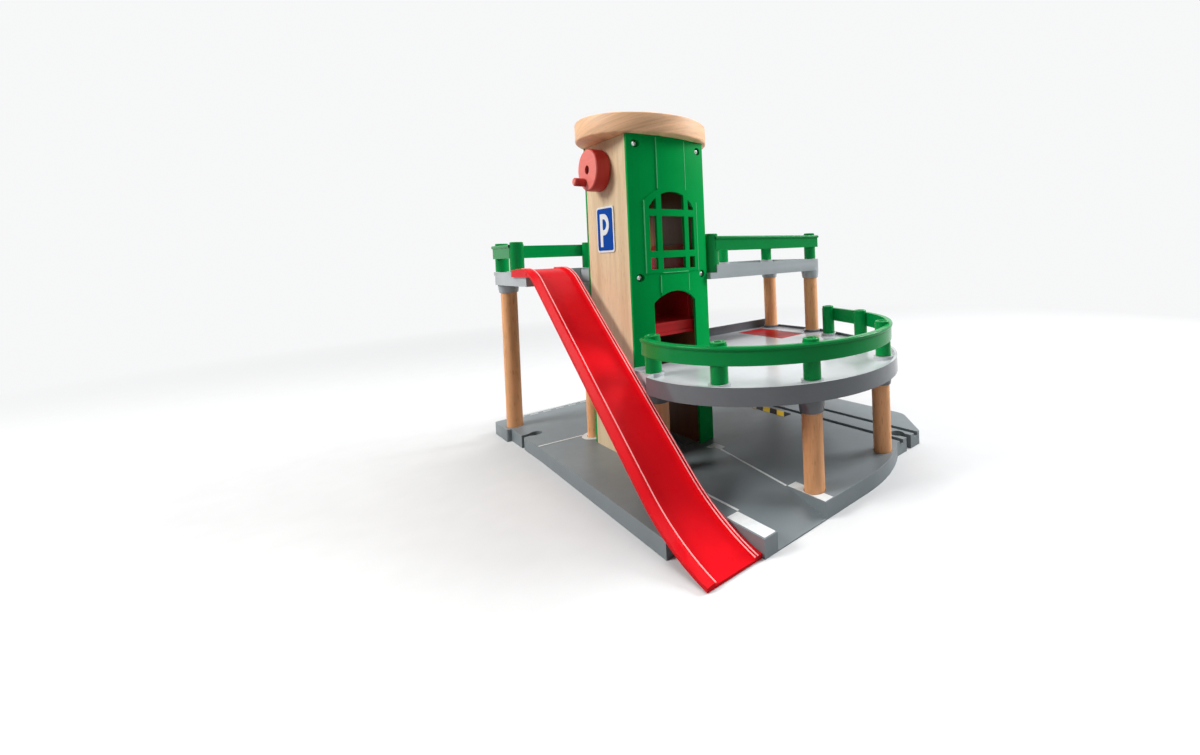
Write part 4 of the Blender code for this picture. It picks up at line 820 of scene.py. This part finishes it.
# Fine beads along the ramp's ridges, in a pale red that is a painted highlight

# Between these X lie the vertices of the ridge edges that carry a bead.
RAMP_BEADS = {"left": ((-0.08595, -0.08558),),
              "right": ((-0.05452, -0.05415), (-0.05215, -0.05175))}
RAMP_BEAD_RADIUS = 0.00044


def ridge_line(low, high):
    """Points along the ramp's ridge edge between these X, from its top to its foot."""
    found = {}
    for vertex in nodes["slide_ramp"].data.vertices:
        if low < vertex.co.x < high:
            found[round(vertex.co.y, 4)] = vertex.co.copy()
    return [found[key] for key in sorted(found, reverse=True)]


def skin(bm, rings):
    """Closes a row of rings with as many vertices each into one body."""
    sides = len(rings[0])
    for a, b in zip(rings, rings[1:]):
        for k in range(sides):
            bm.faces.new([a[k], a[(k + 1) % sides], b[(k + 1) % sides], b[k]])
    bm.faces.new(rings[0])
    bm.faces.new(rings[-1])


def tube(bm, points, radius, sides=8):
    """A closed round wire along points that run in a plane of constant X, or close to it."""
    rings = []
    for i, point in enumerate(points):
        along = (points[min(i + 1, len(points) - 1)] - points[max(i - 1, 0)]).normalized()
        across = Vector((1, 0, 0))
        up = across.cross(along).normalized()
        rings.append([bm.verts.new(point + (across * math.cos(t) + up * math.sin(t)) * radius)
                      for t in [2 * math.pi * k / sides for k in range(sides)]])
    skin(bm, rings)


for side, places in RAMP_BEADS.items():
    bm = bmesh.new()
    for place in places:
        tube(bm, ridge_line(*place), RAMP_BEAD_RADIUS)
    soften(piece("ramp_beads_" + side, mesh_of(bm, "ramp_beads"), "red_bead", "slide_ramp"),
           flatten=False)


# Rounded beads along the railings' top edges

BEAD_HEIGHT = 0.0032
BEAD_PROUD = 0.0006
BEAD_SIDES = 14
LEVEL = 0.00001            # two heights closer than this are the same
ABOUT = 0.0001             # a height is right within this


def outer_edge(node):
    """The outer top edge of a railing's band, as one line of points, with the outward
    direction at each."""
    bm = bmesh.new()
    bm.from_mesh(nodes[node].data)
    bmesh.ops.remove_doubles(bm, verts=bm.verts, dist=SEAM)
    links, outward = {}, {}
    for edge in bm.edges:
        a, b = edge.verts
        if abs(a.co.z - b.co.z) > LEVEL:
            continue
        for face in edge.link_faces:
            low = min(v.co.z for v in face.verts)
            high = max(v.co.z for v in face.verts)
            beside = [other for other in edge.link_faces if other is not face]
            level = beside and abs(beside[0].normal.z) > 0.9
            if (abs(face.normal.z) < 0.1 and level and abs(high - a.co.z) < LEVEL
                    and abs(high - low - BEAD_HEIGHT) < ABOUT):
                for one, other in ((a, b), (b, a)):
                    links.setdefault(one.index, set()).add(other.index)
                    outward.setdefault(one.index, Vector())
                    outward[one.index] += face.normal
    ends = [i for i, near in links.items() if len(near) == 1]
    bm.verts.ensure_lookup_table()
    here, last, line = min(ends), None, []
    while here is not None:
        line.append((bm.verts[here].co.copy(), outward[here].normalized()))
        onward = [i for i in links[here] if i != last]
        here, last = (onward[0] if onward else None), here
    bm.free()
    return line


def railing_bead(name, node):
    """A round bead along the outer top edge of a railing's band."""
    line = outer_edge(node)
    radius = BEAD_HEIGHT / 2
    bm = bmesh.new()
    rings = []
    for point, out in line:
        middle = point - Vector((0, 0, radius)) - out * (radius - BEAD_PROUD)
        rings.append([bm.verts.new(middle + (out * math.cos(t) + Vector((0, 0, math.sin(t))))
                                   * radius)
                      for t in [2 * math.pi * k / BEAD_SIDES for k in range(BEAD_SIDES)]])
    skin(bm, rings)
    soften(piece(name, mesh_of(bm, name), "rail", node), flatten=False)


for node in ("mid_railing", "upper_railing_right", "upper_railing_back"):
    railing_bead(node + "_bead", node)


# Printed fields on the base, and a painted highlight along its back edge

def print_and_highlight_on_base(name, shapes, look="white"):
    """Printed fields and painted highlights on the base's top, given in X and Y."""
    mesh = slabs(name, shapes, (0, 0, BASE_TOP), (1, 0, 0), (0, 1, 0), -PAINT_ROOT, PAINT)
    soften(piece(name, mesh, look, "base"))


LINE = 0.0018
ROAD_LINE = 1.3 * LINE
FOOT_CLEAR = 0.0086        # a print stops this far from the middle of a column
TALL_MIDDLE = (-0.0320, 0.0605)
ROAD_PAD = 0.0135
ROAD_LINE_ENDS = [(-0.0835, 0.0750), (-0.0415, 0.0697)]
EDGE_LEFT = -0.068
EDGE_RIGHT = 0.151
# Where the white line lies that paints the highlight of the base's back edge.
EDGE_HIGHLIGHT_Y = 0.1916
DASH_Y = 0.1865
DASH = 0.0090
DASH_STEP = 0.0150
DASHES = 15
DRIVE_LINE_ENDS = [(0.0262, -0.0705), (0.0132, -0.1676)]
TOWER_PAD = [(0.0205, -0.0560), (0.0320, -0.0540), (0.0322, -0.0700), (0.0254, -0.0712),
             (0.0248, -0.0622), (0.0214, -0.0604)]
FRONT_MIDDLE = (0.02244, -0.18858)
COLUMN_PAD = (0.0136, -0.2062, 0.0226, -0.1686)
KERB = (-0.0466, -0.2058, -0.0366, -0.1680)
KERB_CORNER = 0.0008
KERB_LINE_X = -0.0353
KERB_LINE_END = -0.1672
TOWER_FRONT = -0.046


def line_along(y, start, end):
    """A line parallel to X."""
    return rectangle(start, y - LINE / 2, end, y + LINE / 2)


def column_pad():
    """The pad beside the front middle column, with a notch round the column's foot."""
    left, front, right, back = COLUMN_PAD
    notch = [point for point in arc(*FRONT_MIDDLE, FOOT_CLEAR, 90, 270, 20)
             if point[0] < right]
    return [(left, back), (right, back)] + notch + [(right, front), (left, front)]


print_and_highlight_on_base("print_road_pad", [ring(*TALL_MIDDLE, ROAD_PAD, FOOT_CLEAR)])
print_and_highlight_on_base("print_road_line", [[stroke(ROAD_LINE_ENDS, ROAD_LINE)]])
print_and_highlight_on_base("print_road_dashes", [[line_along(DASH_Y, x, x + DASH)]
                                 for x in [EDGE_LEFT + DASH_STEP * i for i in range(DASHES)]])
# A white line along the base's back edge that paints the edge's highlight.
print_and_highlight_on_base("painted_highlight_road_edge", [[line_along(EDGE_HIGHLIGHT_Y, EDGE_LEFT, EDGE_RIGHT)]])
print_and_highlight_on_base("print_drive_line", [[stroke(DRIVE_LINE_ENDS, LINE)]])
print_and_highlight_on_base("print_tower_pad", [[TOWER_PAD]])
print_and_highlight_on_base("print_column_pad", [[column_pad()]])
print_and_highlight_on_base("print_kerb_pad", [[rounded_rectangle(*KERB, KERB_CORNER, 3)]])
print_and_highlight_on_base("print_kerb_line", [[rectangle(KERB_LINE_X - LINE / 2, KERB_LINE_END,
                                          KERB_LINE_X + LINE / 2, TOWER_FRONT)]])

HAZARD_NEAR = (0.1270, 0.1392)
HAZARD_FAR = (0.1818, 0.1940)
HAZARD_Y = (-0.0550, 0.0240)
BAND = 0.0112


def hazard(look, first):
    """Every second band of the slanting stripes on both sides of the train lane."""
    shapes = []
    for (x0, x1), slant in ((HAZARD_NEAR, 1), (HAZARD_FAR, -1)):
        width = x1 - x0
        lean = (0, width) if slant > 0 else (width, 0)
        start = HAZARD_Y[0] - 2 * BAND + first * BAND
        while start < HAZARD_Y[1]:
            band = [(x0, start + lean[0]), (x1, start + lean[1]),
                    (x1, start + lean[1] + BAND), (x0, start + lean[0] + BAND)]
            band = clip_box(band, x0, HAZARD_Y[0], x1, HAZARD_Y[1])
            if len(band) > 2:
                shapes.append([band])
            start += 2 * BAND
    print_and_highlight_on_base("print_hazard_" + look, shapes, look)


hazard("yellow", 0)
hazard("black", 1)


# Stage: floor, lights, camera

BACK = (0.93, 0.935, 0.94)
FLOOR_RADIUS = 30.0
FLOOR_NEAR = 0.45          # beyond this distance the floor fades into the backdrop's colour
FLOOR_FAR = 1.30
FLOOR_DARK = (0.70, 0.705, 0.71)
FLOOR_PALE = (0.72, 0.725, 0.73)
FLOOR_BOUNCE = (0.30, 0.30, 0.30, 1.0)  # the floor's colour in the light that it sends back
SKY = (0.95, 0.98, 1.0, 1.0)
SKY_STRENGTH = 0.16
AIM = (0.05, 0.0, 0.15)
LIGHTS = (("key", (-1.24, 0.50, 1.05), 0.6, 21.5, (1.0, 0.99, 0.97)),
          ("side", (1.22, -0.60, 0.92), 0.7, 22.0, (0.98, 0.99, 1.0)),
          ("front", (-0.15, -1.25, 1.20), 0.7, 2.5, (1.0, 1.0, 1.0)),
          ("top", (0.20, 0.05, 1.70), 1.2, 17.0, (1.0, 1.0, 1.0)))
CAMERA_PLACE = (-0.2591, -0.4384, 0.1948)
CAMERA_HEADING = 45.45     # degrees from Y towards X
CAMERA_TILT = -0.80
CAMERA_ROLL = -2.24
CAMERA_LENS = 15.0         # mm, on a sensor of this width
CAMERA_SENSOR = 36.0
CAMERA_SHIFT = (-0.150, -0.100)


def seen_ray(tree):
    """1 for rays that show the backdrop directly, in gloss or through glass."""
    path = add(tree, "ShaderNodeLightPath")
    total = path.outputs["Is Camera Ray"]
    for kind in ("Is Glossy Ray", "Is Transmission Ray"):
        total = maths(tree, "MAXIMUM", total, path.outputs[kind])
    return total


def stage_floor():
    """A wide pale floor that keeps the shadow. It sends back less light than it shows."""
    bm = bmesh.new()
    bmesh.ops.create_circle(bm, cap_ends=True, segments=96, radius=FLOOR_RADIUS)
    mesh = bpy.data.meshes.new("floor")
    bm.to_mesh(mesh)
    bm.free()
    floor = bpy.data.objects.new("floor", mesh)
    bpy.context.scene.collection.objects.link(floor)
    mat, tree, shader = new_material("floor_pale")
    shader.inputs["Roughness"].default_value = 0.9
    grain = noise(tree, coordinates(tree), 40.0, 2.0)
    tree.links.new(ramp(tree, grain, ((LOW_NOISE, FLOOR_DARK), (HIGH_NOISE, FLOOR_PALE))),
                   shader.inputs["Base Color"])
    soft = add(tree, "ShaderNodeBsdfDiffuse")
    soft.inputs["Color"].default_value = FLOOR_BOUNCE
    near = add(tree, "ShaderNodeMixShader")
    tree.links.new(seen_ray(tree), near.inputs[0])
    tree.links.new(soft.outputs[0], near.inputs[1])
    tree.links.new(shader.outputs[0], near.inputs[2])
    source = add(tree, "ShaderNodeTexCoord")
    length = add(tree, "ShaderNodeVectorMath", operation="LENGTH")
    tree.links.new(source.outputs["Object"], length.inputs[0])
    far = remap(tree, length.outputs["Value"], FLOOR_NEAR, FLOOR_FAR)
    shown = maths(tree, "MULTIPLY", far, seen_ray(tree))
    glow = add(tree, "ShaderNodeEmission")
    glow.inputs["Color"].default_value = (*BACK, 1.0)
    blend = add(tree, "ShaderNodeMixShader")
    tree.links.new(shown, blend.inputs[0])
    tree.links.new(near.outputs[0], blend.inputs[1])
    tree.links.new(glow.outputs[0], blend.inputs[2])
    tree.links.new(blend.outputs[0], tree.nodes["Material Output"].inputs["Surface"])
    mesh.materials.append(mat)


def stage_world():
    """Faint even light, and the pale backdrop for rays that show it."""
    world = bpy.data.worlds.new("studio")
    bpy.context.scene.world = world
    world.use_nodes = True
    tree = world.node_tree
    light = tree.nodes["Background"]
    light.inputs["Color"].default_value = SKY
    light.inputs["Strength"].default_value = SKY_STRENGTH
    seen = add(tree, "ShaderNodeBackground")
    seen.inputs["Color"].default_value = (*BACK, 1.0)
    blend = add(tree, "ShaderNodeMixShader")
    tree.links.new(seen_ray(tree), blend.inputs[0])
    tree.links.new(light.outputs[0], blend.inputs[1])
    tree.links.new(seen.outputs[0], blend.inputs[2])
    tree.links.new(blend.outputs[0], tree.nodes["World Output"].inputs["Surface"])


def area_light(name, position, size, power, colour):
    """A square lamp that looks at the object."""
    data = bpy.data.lights.new(name, "AREA")
    data.shape = "SQUARE"
    data.size = size
    data.energy = power
    data.color = colour
    lamp = bpy.data.objects.new(name, data)
    lamp.location = position
    aim = Vector(AIM) - Vector(position)
    lamp.rotation_euler = aim.to_track_quat("-Z", "Y").to_euler()
    bpy.context.scene.collection.objects.link(lamp)


def stage_camera():
    """The camera at the photo's angle, level but for a small tilt and roll."""
    heading = math.radians(CAMERA_HEADING)
    tilt = math.radians(CAMERA_TILT)
    roll = math.radians(CAMERA_ROLL)
    ahead = Vector((math.sin(heading) * math.cos(tilt), math.cos(heading) * math.cos(tilt),
                    math.sin(tilt)))
    right = ahead.cross(Vector((0, 0, 1))).normalized()
    up = right.cross(ahead)
    across = right * math.cos(roll) + up * math.sin(roll)
    above = up * math.cos(roll) - right * math.sin(roll)
    data = bpy.data.cameras.new("camera")
    data.sensor_width = CAMERA_SENSOR
    data.lens = CAMERA_LENS
    data.shift_x, data.shift_y = CAMERA_SHIFT
    data.clip_start = 0.01
    camera = bpy.data.objects.new("camera", data)
    turn = Matrix((across, above, -ahead)).transposed()
    camera.matrix_world = Matrix.Translation(CAMERA_PLACE) @ turn.to_4x4()
    bpy.context.scene.collection.objects.link(camera)
    bpy.context.scene.camera = camera


bpy.context.scene.view_settings.view_transform = "Standard"
stage_floor()
stage_world()
for lamp in LIGHTS:
    area_light(*lamp)
stage_camera()
